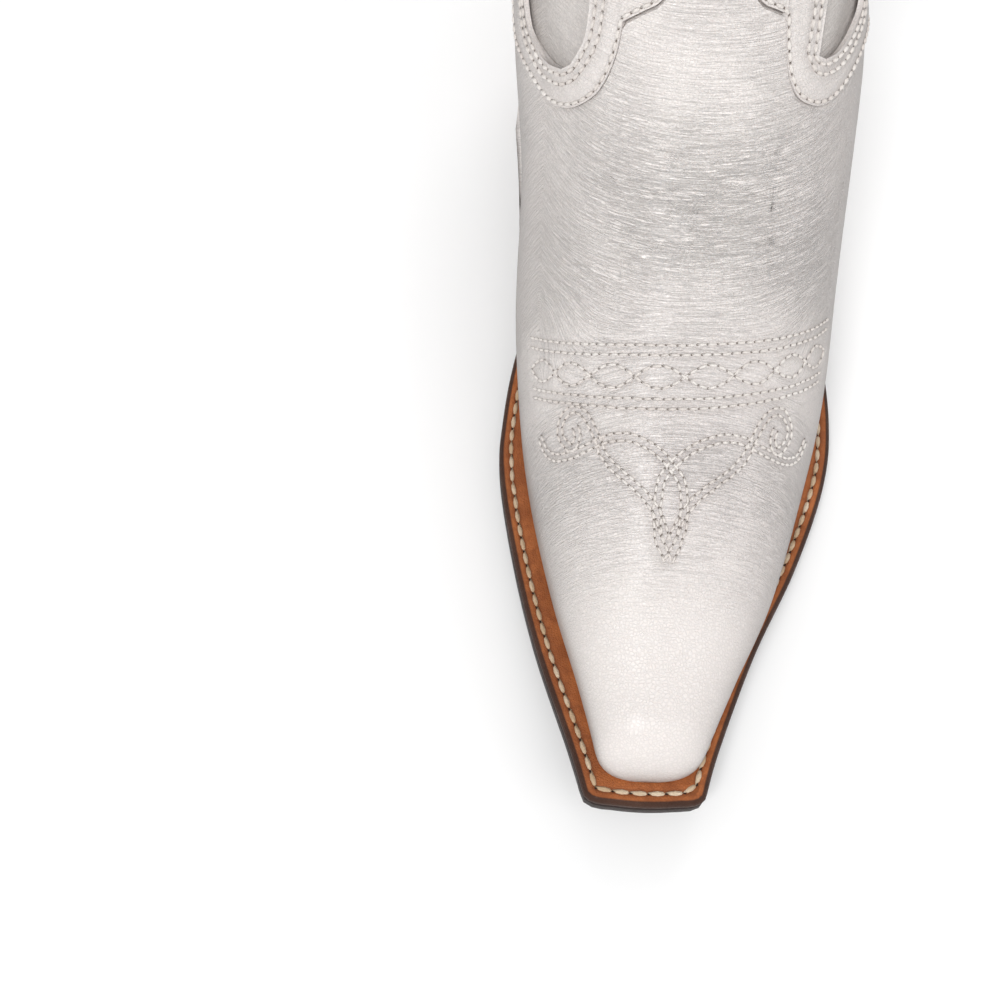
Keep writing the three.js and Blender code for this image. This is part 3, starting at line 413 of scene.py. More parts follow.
def buildGrainGroup():
    # pores and fine wrinkles of tanned leather: a height for bump, and a tone for colour that is lower along
    # the grain's furrows and carries painted shade in the wrinkles
    tree, inside, outside = newGroup(
        "leatherGrain",
        [("Vector", "NodeSocketVector", None), ("Skin", "NodeSocketVector", None),
         ("Pore Size", "NodeSocketFloat", 900.0), ("Flex", "NodeSocketFloat", 0.0)],
        [("Height", "NodeSocketFloat"), ("Tone", "NodeSocketFloat")],
    )
    vector, skin = inside.outputs["Vector"], inside.outputs["Skin"]
    warp = addNode(tree, "ShaderNodeTexNoise", {"Vector": vector, "Scale": 260.0, "Detail": 2.0})
    scaled = addNode(tree, "ShaderNodeVectorMath", {0: warp.outputs["Color"], "Scale": 0.0016},
                     operation="SCALE")
    bent = addNode(tree, "ShaderNodeVectorMath", {0: vector, 1: scaled.outputs[0]}, operation="ADD")
    poreValues = {"Vector": bent.outputs[0], "Scale": inside.outputs["Pore Size"]}
    pores = addNode(tree, "ShaderNodeTexVoronoi", poreValues, feature="DISTANCE_TO_EDGE")
    pebble = addNode(tree, "ShaderNodeMapRange", {0: pores.outputs["Distance"], 1: 0.0, 2: 0.22}).outputs[0]
    fine = noiseMask(tree, vector, 2600.0, 2.0, 0.3, 0.7)
    creases = []
    for across, along, size, width in ((0.16, 3.0, 40.0, 0.07), (0.36, 3.2, 76.0, 0.1)):
        stretched = addNode(tree, "ShaderNodeMapping", {"Vector": skin, "Scale": (across, along, 1.0)})
        wrinkleValues = {"Vector": stretched.outputs[0], "Scale": size, "Detail": 2.0, "Distortion": 0.5}
        wrinkle = addNode(tree, "ShaderNodeTexNoise", wrinkleValues)
        ridge = math2(tree, "ABSOLUTE", math2(tree, "SUBTRACT", wrinkle.outputs[0], 0.5))
        creases.append(addNode(tree, "ShaderNodeMapRange", {0: ridge, 1: 0.0, 2: width}).outputs[0])
    crease = addNode(tree, "ShaderNodeMix", {0: 0.4, 2: creases[0], 3: creases[1]}).outputs[0]
    patchy = noiseMask(tree, skin, 3.2, 1.0, 0.1, 0.5)
    amount = math2(tree, "MULTIPLY", inside.outputs["Flex"], patchy)
    creased = addNode(tree, "ShaderNodeMix", {0: amount, 2: 1.0, 3: crease}).outputs[0]
    surface = math2(tree, "ADD", math2(tree, "MULTIPLY", pebble, 0.3), math2(tree, "MULTIPLY", fine, 0.12))
    height = math2(tree, "ADD", surface, math2(tree, "MULTIPLY", creased, 3.4))
    # the tone is lower in the grain's furrows (pebble), and in the wrinkles (creased), where it is painted
    # shade
    poreAndCreaseShadeTones = [addNode(tree, "ShaderNodeMapRange", {0: value, 3: darkest, 4: 1.0}).outputs[0]
             for value, darkest in ((pebble, 0.9), (creased, 0.95))]
    tone = math2(tree, "MULTIPLY", *poreAndCreaseShadeTones)
    tree.links.new(height, outside.inputs["Height"])
    tree.links.new(tone, outside.inputs["Tone"])
    return tree


def buildMottleGroup():
    # slow drifts between two shades, with a finer speckle over them
    tree, inside, outside = newGroup(
        "shadeDrift",
        [("Vector", "NodeSocketVector", None), ("Light", "NodeSocketColor", (0.8, 0.8, 0.8, 1)),
         ("Deep", "NodeSocketColor", (0.6, 0.6, 0.6, 1)), ("Scale", "NodeSocketFloat", 20.0),
         ("Speckle", "NodeSocketFloat", 0.2)],
        [("Color", "NodeSocketColor"), ("Mask", "NodeSocketFloat")],
    )
    vector = inside.outputs["Vector"]
    slowValues = {"Vector": vector, "Scale": inside.outputs["Scale"], "Detail": 3.0}
    slow = addNode(tree, "ShaderNodeTexNoise", slowValues)
    slowMask = addNode(tree, "ShaderNodeMapRange", {0: slow.outputs[0], 1: 0.32, 2: 0.68}).outputs[0]
    quick = noiseMask(tree, vector, 420.0, 3.0, 0.45, 0.75)
    speckled = math2(tree, "MULTIPLY", quick, inside.outputs["Speckle"])
    mask = math2(tree, "ADD", slowMask, speckled, clamp=True)
    colour = blendColour(tree, mask, inside.outputs["Light"], inside.outputs["Deep"])
    tree.links.new(colour, outside.inputs["Color"])
    tree.links.new(mask, outside.inputs["Mask"])
    return tree


grainGroup = buildGrainGroup()
driftGroup = buildMottleGroup()


def newMaterial(name):
    material = bpy.data.materials.new(name)
    material.use_nodes = True
    tree = material.node_tree
    return material, tree, tree.nodes["Principled BSDF"]


def useGroup(tree, group, values):
    return addNode(tree, "ShaderNodeGroup", values, node_tree=group)


def bumpOnto(tree, shader, height, strength, distance):
    bump = addNode(tree, "ShaderNodeBump", {"Strength": strength, "Distance": distance, "Height": height})
    tree.links.new(bump.outputs[0], shader.inputs["Normal"])


def grainedLeather(name, look):
    # leather whose pieces may carry "flex", "seam" and "edge" on their vertices: "seam" paints shade along
    # stitch rows, "edge" paints dye on sole edges and shade where the vamp runs under the shaft
    material, tree, shader = newMaterial(name)
    coords = addNode(tree, "ShaderNodeTexCoord")
    flex, seam, edge = (addNode(tree, "ShaderNodeAttribute", attribute_name=key).outputs["Fac"]
                        for key in ("flex", "seam", "edge"))
    grain = useGroup(tree, grainGroup, {"Vector": coords.outputs["Object"], "Skin": coords.outputs["UV"],
                                        "Pore Size": look["pores"], "Flex": flex})
    drift = useGroup(tree, driftGroup, {"Vector": coords.outputs["Object"], "Light": srgb(*look["light"]),
                                        "Deep": srgb(*look["deep"]), "Scale": look["drift"],
                                        "Speckle": look["speckle"]})
    toned = blendColour(tree, 1.0, drift.outputs["Color"], grain.outputs["Tone"], "MULTIPLY")
    # painted shade along the rows of stitches and in the welt's stitch groove, in the look's shade colour
    seamShadeAmount = math2(tree, "MULTIPLY", seam, look["seamShade"])
    seamed = blendColour(tree, seamShadeAmount, toned, srgb(*look["shade"]))
    # edge: dye on the welt's and sole's edges, and painted shade on the vamp where it runs under the shaft's
    # foot
    dyedAndShadedEdge = math2(tree, "MULTIPLY", edge, look["edgeDyeAndShade"])
    coloured = blendColour(tree, dyedAndShadedEdge, seamed, srgb(*look["edgeColour"]))
    # painted shade: the colour dims towards grazing angles, by as much as rimShade says
    facing = addNode(tree, "ShaderNodeLayerWeight", {"Blend": 0.5}).outputs["Facing"]
    paintedRimShade = math2(tree, "MULTIPLY", math2(tree, "POWER", facing, 2.2), look["rimShade"])
    rimShadedColour = blendColour(tree, 1.0, coloured, srgb(150, 144, 140), "MULTIPLY")
    finished = blendColour(tree, paintedRimShade, coloured, rimShadedColour)
    tree.links.new(finished, shader.inputs["Base Color"])
    smoothest, roughest = look["rough"]
    rough = addNode(tree, "ShaderNodeMapRange", {0: drift.outputs["Mask"], 3: smoothest, 4: roughest})
    tree.links.new(rough.outputs[0], shader.inputs["Roughness"])
    shader.inputs["Specular IOR Level"].default_value = look["specular"]
    shader.inputs["Coat Weight"].default_value = look["coat"]
    shader.inputs["Coat Roughness"].default_value = 0.28
    shader.inputs["Subsurface Weight"].default_value = look.get("subsurface", 0.0)
    shader.inputs["Subsurface Radius"].default_value = (0.0012, 0.0009, 0.0007)
    bumpOnto(tree, shader, grain.outputs["Height"], look["bump"], 0.00035)
    return material


leatherLooks = {
    "whiteLeather": {
        "light": (234, 228, 224), "deep": (226, 219, 216),
        # shade and edgeColour here are painted shade: along the stitch rows, and where the vamp runs under
        # the shaft
        "shade": (160, 149, 145), "edgeColour": (150, 142, 136),
        "pores": 1150.0, "drift": 14.0, "speckle": 0.15, "seamShade": 0.22, "edgeDyeAndShade": 0.9,
        "rimShade": 0.95,
        "rough": (0.38, 0.46), "specular": 0.5, "coat": 0.2, "bump": 0.75, "subsurface": 0.05,
    },
    "inlayLeather": {
        "light": (222, 216, 212), "deep": (208, 202, 198),
        "shade": (160, 152, 148), "edgeColour": (120, 112, 108),
        "pores": 1000.0, "drift": 22.0, "speckle": 0.2, "seamShade": 0.3, "edgeDyeAndShade": 0.8, "rimShade": 0.6,
        "rough": (0.42, 0.54), "specular": 0.45, "coat": 0.06, "bump": 0.5, "subsurface": 0.05,
    },
    "liningLeather": {
        "light": (206, 180, 146), "deep": (188, 158, 122),
        "shade": (150, 122, 92), "edgeColour": (140, 112, 84),
        "pores": 900.0, "drift": 18.0, "speckle": 0.35, "seamShade": 0.4, "edgeDyeAndShade": 0.7, "rimShade": 0.3,
        "rough": (0.62, 0.74), "specular": 0.3, "coat": 0.0, "bump": 0.6,
    },
    "weltLeather": {
        "light": (184, 108, 58), "deep": (150, 84, 44),
        # shade is painted shade in the stitch groove; edgeColour is the welt's dyed edge
        "shade": (92, 50, 28), "edgeColour": (44, 26, 18),
        "pores": 1500.0, "drift": 90.0, "speckle": 0.7, "seamShade": 0.45, "edgeDyeAndShade": 1.0, "rimShade": 0.2,
        "rough": (0.5, 0.64), "specular": 0.3, "coat": 0.04, "bump": 0.9,
    },
    "soleLeather": {
        "light": (178, 128, 84), "deep": (156, 106, 66),
        "shade": (70, 44, 30), "edgeColour": (36, 22, 16),
        "pores": 1600.0, "drift": 26.0, "speckle": 0.5, "seamShade": 0.7, "edgeDyeAndShade": 1.0, "rimShade": 0.2,
        "rough": (0.48, 0.6), "specular": 0.3, "coat": 0.05, "bump": 0.45,
    },
    "fibreBoard": {
        "light": (190, 164, 128), "deep": (168, 140, 104),
        "shade": (120, 96, 70), "edgeColour": (120, 96, 70),
        "pores": 2600.0, "drift": 80.0, "speckle": 0.8, "seamShade": 0.0, "edgeDyeAndShade": 0.0, "rimShade": 0.0,
        "rough": (0.8, 0.9), "specular": 0.2, "coat": 0.0, "bump": 0.4,
    },
}
leathers = {name: grainedLeather(name, look) for name, look in leatherLooks.items()}


def stackedLeather():
    # heel lifts: thin layers edge on, waxed dark, a little lighter where they are rubbed
    material, tree, shader = newMaterial("stackedLeather")
    coords = addNode(tree, "ShaderNodeTexCoord").outputs["Object"]
    layered = addNode(tree, "ShaderNodeMapping", {"Vector": coords, "Scale": (6.0, 6.0, 620.0)})
    lines = noiseMask(tree, layered.outputs[0], 1.0, 3.0, 0.4, 0.6)
    drift = useGroup(tree, driftGroup, {"Vector": coords, "Light": srgb(108, 66, 42),
                                        "Deep": srgb(74, 44, 29), "Scale": 45.0, "Speckle": 0.5})
    lineShade = math2(tree, "MULTIPLY", lines, 0.55)
    coloured = blendColour(tree, lineShade, drift.outputs["Color"], srgb(46, 27, 19))
    tree.links.new(coloured, shader.inputs["Base Color"])
    rough = addNode(tree, "ShaderNodeMapRange", {0: lines, 3: 0.34, 4: 0.5})
    tree.links.new(rough.outputs[0], shader.inputs["Roughness"])
    shader.inputs["Coat Weight"].default_value = 0.2
    bumpOnto(tree, shader, lines, 0.4, 0.0004)
    return material


def plainFinish(name, look):
    # metals, rubber, cork, wood and thread: two drifting shades, grain of its own scale
    material, tree, shader = newMaterial(name)
    coords = addNode(tree, "ShaderNodeTexCoord").outputs["Object"]
    shaped = addNode(tree, "ShaderNodeMapping", {"Vector": coords, "Scale": look.get("stretch", (1, 1, 1))})
    drift = useGroup(tree, driftGroup, {"Vector": shaped.outputs[0], "Light": srgb(*look["light"]),
                                        "Deep": srgb(*look["deep"]), "Scale": look["scale"],
                                        "Speckle": look["speckle"]})
    tree.links.new(drift.outputs["Color"], shader.inputs["Base Color"])
    smoothest, roughest = look["rough"]
    rough = addNode(tree, "ShaderNodeMapRange", {0: drift.outputs["Mask"], 3: smoothest, 4: roughest})
    tree.links.new(rough.outputs[0], shader.inputs["Roughness"])
    shader.inputs["Metallic"].default_value = look.get("metal", 0.0)
    grain = noiseMask(tree, shaped.outputs[0], look["grain"], 3.0, 0.35, 0.65)
    bumpOnto(tree, shader, grain, look["bump"], 0.0003)
    return material


finishLooks = {
    "whiteThread": {"light": (240, 235, 230), "deep": (222, 214, 208), "scale": 60.0, "speckle": 0.2,
                    "rough": (0.5, 0.62), "grain": 3800.0, "bump": 0.5},
    "creamThread": {"light": (232, 212, 186), "deep": (204, 176, 142), "scale": 120.0, "speckle": 0.6,
                    "rough": (0.6, 0.75), "grain": 3400.0, "bump": 0.7},
    # the two hole finishes below colour the dark discs at the needle holes: painted shade of the holes
    "needleHole": {"light": (140, 129, 122), "deep": (112, 102, 96), "scale": 200.0, "speckle": 0.4,
                   "rough": (0.8, 0.9), "grain": 3000.0, "bump": 0.2},
    "weltHole": {"light": (58, 32, 20), "deep": (40, 22, 14), "scale": 200.0, "speckle": 0.4,
                 "rough": (0.7, 0.8), "grain": 3000.0, "bump": 0.2},
    "heelRubber": {"light": (44, 41, 39), "deep": (30, 28, 27), "scale": 40.0, "speckle": 0.5,
                   "rough": (0.6, 0.75), "grain": 1800.0, "bump": 0.5},
    "corkFill": {"light": (176, 134, 90), "deep": (112, 78, 48), "scale": 320.0, "speckle": 0.9,
                 "rough": (0.85, 0.95), "grain": 900.0, "bump": 0.9},
    "shankSteel": {"light": (164, 166, 168), "deep": (126, 129, 132), "scale": 30.0, "speckle": 0.3,
                   "metal": 1.0, "stretch": (1, 0.1, 1), "rough": (0.28, 0.4), "grain": 900.0, "bump": 0.2},
    "nailBrass": {"light": (196, 160, 98), "deep": (158, 122, 68), "scale": 90.0, "speckle": 0.4,
                  "metal": 1.0, "rough": (0.3, 0.45), "grain": 1500.0, "bump": 0.2},
    "pegWood": {"light": (222, 198, 150), "deep": (190, 160, 110), "scale": 160.0, "speckle": 0.4,
                "stretch": (1, 1, 0.15), "rough": (0.7, 0.85), "grain": 2200.0, "bump": 0.5},
}
finishes = {name: plainFinish(name, look) for name, look in finishLooks.items()}
finishes["stackedLeather"] = stackedLeather()

print("stage: pieces")


def gridMesh(columns, rowCount, formula, names=()):
    # a sheet of quads: formula gives points in millimetres, skin coordinates and vertex values
    bm = bmesh.new()
    bmesh.ops.create_grid(bm, x_segments=columns, y_segments=rowCount, size=0.5)
    share = np.array([v.co for v in bm.verts]) + 0.5
    points, skin, values = formula(share[:, 0], share[:, 1])
    layers = [bm.verts.layers.float.new(name) for name in names]
    for vert, point in zip(bm.verts, points * mm):
        vert.co = point
    for layer, value in zip(layers, values):
        for vert, amount in zip(bm.verts, np.broadcast_to(value, len(points))):
            vert[layer] = amount
    bm.verts.index_update()
    uv = bm.loops.layers.uv.new("skin")
    for face in bm.faces:
        for loop in face.loops:
            loop[uv].uv = skin[loop.vert.index]
    return bm


def meshObject(name, bm, materials, sharp=42):
    bmesh.ops.remove_doubles(bm, verts=bm.verts, dist=1e-6)
    limit = math.radians(sharp)
    for edge in bm.edges:
        edge.smooth = edge.calc_face_angle(0) < limit
    for face in bm.faces:
        face.smooth = True
    mesh = bpy.data.meshes.new(name)
    bm.to_mesh(mesh)
    bm.free()
    for material in materials:
        mesh.materials.append(material)
    piece = bpy.data.objects.new(name, mesh)
    bpy.context.scene.collection.objects.link(piece)
    return piece


def settle(piece):
    # applies what the modifiers make
    bpy.context.view_layer.update()
    graph = bpy.context.evaluated_depsgraph_get()
    mesh = bpy.data.meshes.new_from_object(piece.evaluated_get(graph))
    piece.modifiers.clear()
    piece.data = mesh
    bm = bmesh.new()
    bm.from_mesh(mesh)
    for edge in bm.edges:
        edge.smooth = edge.calc_face_angle(0) < math.radians(42)
    bm.to_mesh(mesh)
    bm.free()


def wear(piece, slotName, *nodes):
    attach(piece, "root")
    if nodes:
        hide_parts(*nodes)
    return piece


flexSag = 0.00028  # how far the creases sag, in stations for each degree squared


def skinCoordinates(angle, station):
    # wrinkles run along these, sagging towards the toe at the middle of the instep
    overFlex = smooth(station, 4.4, 5.6) * (1 - smooth(station, 8, 9.5))
    sag = flexSag * np.minimum(np.abs(angle), 60) ** 2 * overFlex
    return np.stack([angle * 0.0075, (station - sag) * 0.25], 1)


def skinPanel(name, look, places, depthAt, material, values, tree=None):
    # a panel of leather: places gives (station, angle) for u and v, depthAt how far inside the skin
    def formula(u, v):
        station, angle = places(u, v)
        flat = upperPoints(station, angle)
        depth = depthAt(u, v, station, angle)
        seam = np.zeros(len(u))
        if tree is not None:
            away = seamDistance(tree, flat)
            # closeness to the rows of stitches: the leather is pulled down there, and painted shade follows
            # the rows
            seam = np.exp(-(away / 0.85) ** 2)
            depth = depth + 0.24 * seam - 0.12 * np.exp(-((away - 2.3) / 1.3) ** 2)
        flex, edge = values(u, v, station, angle)
        return upperPoints(station, angle, depth), skinCoordinates(angle, station), (flex, seam, edge)

    bm = gridMesh(look["columns"], look["rows"], formula, ("flex", "seam", "edge"))
    bm.normal_update()
    station, angle = places(np.array([0.5]), np.array([0.5]))
    outward = upperPoints(station, angle, -1)[0] - upperPoints(station, angle, 0)[0]
    middle = Vector(upperPoints(station, angle)[0] * mm)
    near = min(bm.faces, key=lambda f: (f.calc_center_median() - middle).length)
    if near.normal.dot(Vector(outward)) < 0:
        bmesh.ops.reverse_faces(bm, faces=bm.faces[:])
    piece = meshObject(name, bm, [material])
    solidify = piece.modifiers.new("wall", "SOLIDIFY")
    solidify.thickness = look["thickness"] * mm
    solidify.offset = -1
    return piece


vampLook = {
    "columns": 212, "rows": 220, "underlap": 0.3, "thickness": 1.3, "creaseWidth": 0.032, "creaseDeep": 1.9,
}
# Flex creases over the instep: station at the middle, degrees of its centre, half its width, how deep.
flexCreases = [
    (5.42, -14, 26, 0.12), (5.55, 8, 34, 0.18), (5.68, -8, 30, 0.16), (5.8, 14, 30, 0.24),
    (5.9, -20, 26, 0.18), (5.98, 6, 38, 0.28), (6.1, -6, 30, 0.2), (6.2, 18, 28, 0.26),
    (6.3, -16, 28, 0.18), (6.4, 4, 34, 0.22), (6.52, 20, 24, 0.16), (6.62, -10, 26, 0.14),
    (3.92, 34, 16, 0.1), (3.78, 38, 18, 0.1), (3.66, 30, 16, 0.08), (3.86, -44, 18, 0.08),
    (3.7, -46, 16, 0.08),
]


def creaseDepth(angle, station):
    total = np.zeros(len(angle))
    for middle, centre, half, deep in flexCreases:
        away = angle - centre
        sag = flexSag * away**2 * (0.4 if middle < 4.5 else 1)
        line = middle + sag + 0.012 * np.sin(away * 0.21 + middle * 9)
        shape = np.exp(-((station - line) / vampLook["creaseWidth"]) ** 2)
        shape = shape - 0.5 * np.exp(-((station - line - 0.07) / 0.05) ** 2)
        total += deep * vampLook["creaseDeep"] * shape * smooth(half - np.abs(away), 0, half * 0.7)
    return total


edgeShare = np.linspace(0, 1, len(vampEdge))
footShare = np.linspace(0, 1, len(footEdge))
rowStations = np.linspace(0, 8.6, 400)
closer = 1 + 1.2 * (smooth(rowStations, 4.9, 5.2) - smooth(rowStations, 6.7, 7.0))
rowSteps = np.linalg.norm(np.diff(upperPoints(rowStations, 0.0), axis=0), axis=1) * closer[1:]
rowGone = np.concatenate([[0], np.cumsum(rowSteps)])
rowShare = rowGone / rowGone[-1]


def vampPlaces(u, v):
    # rows run along the boot, closer together over the flex, and columns end on the lobed edge
    at = np.interp(u, edgeShare, vampEdge[:, 0])
    past = vampLook["underlap"] + 0.3 * smooth(np.abs(at), 70, 84) * (1 - smooth(np.abs(at), 93, 96))
    end = np.interp(u, edgeShare, vampEdge[:, 1]) + past
    level = -163 + 326 * u
    angle = level + (at - level) * smooth(v, 0.45, 0.95)
    return np.interp(v, rowShare, np.linspace(0, 1, len(rowStations))) * end, angle


def vampDepth(u, v, station, angle):
    end = np.interp(u, edgeShare, vampEdge[:, 1])
    under = 1.15 * smooth(station, end - 0.015, end + 0.03)
    sag = 0.25 * np.sin(angle * 0.09 + 1) * np.sin(station * 2.3) * smooth(station, 4.6, 6)
    return under + creaseDepth(angle, station) + sag * (1 - smooth(station, end - 0.4, end - 0.1))


def vampValues(u, v, station, angle):
    end = np.interp(u, edgeShare, vampEdge[:, 1])
    flex = 0.3 + 0.75 * np.exp(-((station - 6.0) / 0.75) ** 2) * smooth(70 - np.abs(angle), 0, 30)
    flex = flex + 0.35 * np.exp(-((station - 3.8) / 0.3) ** 2)
    flex = flex * smooth(station, 2.2, 3.4) + 0.04
    # edge: painted shade where the vamp runs under the shaft's overlapping foot
    return np.clip(flex, 0, 1), 0.5 * smooth(station, end - 0.01, end + 0.03)


vampPiece = skinPanel("vamp_leather", vampLook, vampPlaces, vampDepth, leathers["whiteLeather"], vampValues,
                      seamTree("vamp"))
wear(vampPiece, "upper_leather", "vamp")

# Front of the shaft, cut away at its two windows; its foot lies over the vamp.
shaftLook = {"columns": 216, "rows": 150, "thickness": 1.3, "lift": 0.4}
cutterLook = {"columns": 6, "rows": 48, "outside": -4.0, "inside": 6.0}


def frontPlaces(u, v):
    foot, start = (np.interp(u, footShare, footEdge[:, k]) for k in (0, 1))
    side = np.where(u < 0.5, -1.0, 1.0)
    end = rim((2 * u - 1) * 90)
    station = start + (end - start) * v
    level = (2 * u - 1) * (90 - seamDegrees(station, side))
    return station, foot + (level - foot) * smooth(v, 0.02, 0.3)


def frontDepth(u, v, station, angle):
    start = np.interp(u, footShare, footEdge[:, 1])
    lift = shaftLook["lift"] * (1 - smooth(station - start, 0.05, 0.5))
    soft = 0.3 * np.sin(angle * 0.07) * np.sin(station * 1.7) * smooth(station, 9, 11)
    return -lift + soft + ankleFolds(angle, station)


folds = ((9.2, 0, 46, 0.9), (10.1, 6, 52, 1.1), (11.2, -5, 56, 0.8), (12.2, 8, 50, 0.5))


def ankleFolds(angle, station):
    # soft folds across the front of the ankle
    total = np.zeros(len(angle))
    for middle, centre, half, deep in folds:
        line = middle + 0.00022 * (angle - centre) ** 2
        fade = smooth(half - np.abs(angle - centre), 0, half * 0.8)
        total += deep * np.exp(-((station - line) / 0.3) ** 2) * fade
    return total


def frontValues(u, v, station, angle):
    flex = 0.12 + 0.7 * np.exp(-((station - 10.2) / 1.6) ** 2)
    return flex, 0.0


def windowCutter(side):
    bm = bmesh.new()
    bmesh.ops.create_grid(bm, x_segments=cutterLook["columns"], y_segments=cutterLook["rows"], size=0.5)
    lifted = bmesh.ops.extrude_face_region(bm, geom=bm.faces[:])["geom"]
    bmesh.ops.translate(bm, vec=(0, 0, 1), verts=[g for g in lifted if isinstance(g, bmesh.types.BMVert)])
    share = np.array([v.co for v in bm.verts])
    station, low, high = windowRows(side, share[:, 1] + 0.5)
    angle = low + (high - low) * (share[:, 0] + 0.5)
    depth = np.where(share[:, 2] > 0.5, cutterLook["outside"], cutterLook["inside"])
    for vert, point in zip(bm.verts, upperPoints(station, angle, depth) * mm):
        vert.co = point
    bmesh.ops.recalc_face_normals(bm, faces=bm.faces[:])
    return meshObject("cutter_" + side, bm, [])


shaftFrontPiece = skinPanel("shaft_front_leather", shaftLook, frontPlaces, frontDepth,
                            leathers["whiteLeather"], frontValues, seamTree("shaftFront"))
cutters = [windowCutter(side) for side in windows]
for cutter in cutters:
    opening = shaftFrontPiece.modifiers.new("window", "BOOLEAN")
    opening.operation = "DIFFERENCE"
    opening.solver = "EXACT"
    opening.object = cutter
settle(shaftFrontPiece)
for cutter in cutters:
    bpy.data.objects.remove(cutter)
wear(shaftFrontPiece, "upper_leather", "shaft_front")

# Inlays seen through the windows, a layer below and a little slack.
inlayLook = {"columns": 40, "rows": 90, "margin": 4.5, "depth": 1.75, "thickness": 0.8, "past": 0.1}


def evenFlex(flex):
    # a panel that bends the same amount all over, with no darkened edge
    return lambda u, v, station, angle: (flex + 0 * u, 0.0)


def makeInlay(side):
    def places(u, v):
        station, low, high = windowRows(side, v)
        angle = low - inlayLook["margin"] + (high - low + 2 * inlayLook["margin"]) * u
        return station + inlayLook["past"] * (2 * v - 1), angle

    def depthAt(u, v, station, angle):
        pucker = 0.5 * np.sin(u * 9 + v * 2) * np.sin(math.pi * v) * np.sin(math.pi * u)
        return inlayLook["depth"] + 0.45 * np.sin(math.pi * u) + pucker

    piece = skinPanel("inlay_leather_" + side, inlayLook, places, depthAt, leathers["inlayLeather"],
                      evenFlex(0.6))
    return wear(piece, "upper_leather", "inlay_" + side)


for side in windows:
    makeInlay(side)

# Back of the shaft, its foot under the heel counter.
backLook = {"columns": 190, "rows": 130, "thickness": 1.3, "underlap": 0.25}


def backFoot(angle):
    away = np.abs((angle + 180) % 360 - 180)
    side = np.where(angle < 180, 1, -1)
    outer, inner = (np.interp(away, [88, 90, 94], ends) for ends in ([8.4, 8.55, 9.2], [8.25, 8.5, 9.2]))
    vampTo = np.where(side > 0, outer, inner)
    return np.where(away < 94, vampTo, follow(counterTop, away))


def backPlaces(u, v):
    side = np.where(u < 0.5, 1.0, -1.0)
    rough = 90 + seamHalf + (180 - 2 * seamHalf) * u
    start = backFoot(rough) - backLook["underlap"]
    station = start + (rim(rough) - start) * v
    gap = seamDegrees(station, side)
    return station, 90 + gap + (180 - 2 * gap) * u


def backDepth(u, v, station, angle):
    foot = backFoot(angle)
    under = 1.1 * (1 - smooth(station, foot - 0.03, foot + 0.02))
    soft = 0.35 * np.sin(angle * 0.11) * np.sin(station * 2.1)
    return under + soft * smooth(station, foot, foot + 1)


backPiece = skinPanel("shaft_back_leather", backLook, backPlaces, backDepth, leathers["whiteLeather"],
                      evenFlex(0.2), seamTree("shaftBack"))
wear(backPiece, "upper_leather", "shaft_back")

# Heel counter cover, over the shaft's foot and the vamp's ends.
counterLook = {"columns": 170, "rows": 80, "thickness": 1.3, "lift": 0.45}


def counterPlaces(u, v):
    angle = 94.3 + (360 - 2 * 94.3) * u
    away = 180 - np.abs(180 - angle)
    start, end = follow(counterFoot, away), follow(counterTop, away)
    return start + (end - start) * v, angle


def counterDepth(u, v, station, angle):
    away = 180 - np.abs(180 - angle)
    top = follow(counterTop, away) - station
    foot = station - follow(counterFoot, away) + np.where(away > 120, (away - 120) * 0.05, 0)
    return -counterLook["lift"] * np.maximum(1 - smooth(top, 0.02, 0.5), 1 - smooth(foot, 0.02, 0.5))


counterPiece = skinPanel("counter_leather", counterLook, counterPlaces, counterDepth,
                         leathers["whiteLeather"], evenFlex(0.08), seamTree("counter"))
wear(counterPiece, "upper_leather", "counter_cover")

print("stage: linings and trim")
liningLook = {"columns": 72, "rows": 90, "depth": 1.75, "footDepth": 3.0, "thickness": 0.8, "underlap": 0.1}


def makeLining(name, node, first, last):
    def places(u, v):
        angle = first + (last - first) * u
        foot = follow(liningJoin, 180 - np.abs(180 - np.abs(angle))) - liningLook["underlap"]
        return foot + (rim(angle) - foot) * v, angle

    def depthAt(u, v, station, angle):
        share = smooth(station, 13.4, 14.8)
        return liningLook["footDepth"] + (liningLook["depth"] - liningLook["footDepth"]) * share

    piece = skinPanel(name, liningLook, places, depthAt, leathers["liningLeather"], evenFlex(0.4))
    return wear(piece, "lining_leather", node)


makeLining("shaft_lining_front_leather", "shaft_lining_front", -89.6, 89.6)
makeLining("shaft_lining_back_leather", "shaft_lining_back", 90.4, 269.6)


def ringLoft(name, columns, ring, formula, material="whiteLeather"):
    # a strip whose cross-section is a closed ring: formula gives points for u along it and v round it
    bm = bmesh.new()
    bmesh.ops.create_grid(bm, x_segments=columns, y_segments=ring, size=0.5)
    share = np.array([v.co for v in bm.verts]) + 0.5
    edgeLayer = bm.verts.layers.float.new("edge")
    seamLayer = bm.verts.layers.float.new("seam")
    points, edge, seam = formula(share[:, 0], share[:, 1] % 1.0)
    edge, seam = (np.broadcast_to(value, len(points)) for value in (edge, seam))
    for vert, point, dark, close in zip(bm.verts, points * mm, edge, seam):
        vert.co = point
        vert[edgeLayer] = dark
        vert[seamLayer] = close
    uv = bm.loops.layers.uv.new("skin")
    bm.verts.index_update()
    for face in bm.faces:
        for loop in face.loops:
            loop[uv].uv = share[loop.vert.index][:2]
    bmesh.ops.remove_doubles(bm, verts=bm.verts, dist=1e-6)
    bmesh.ops.holes_fill(bm, edges=[e for e in bm.edges if e.is_boundary], sides=0)
    bmesh.ops.recalc_face_normals(bm, faces=bm.faces)
    return meshObject(name, bm, [leathers[material]])


# Piping down each side seam.
pipingLook = {"rows": 150, "ring": 14, "foot": 8.75, "half": 1.15, "stand": 1.05, "root": 1.2, "top": 6.5}


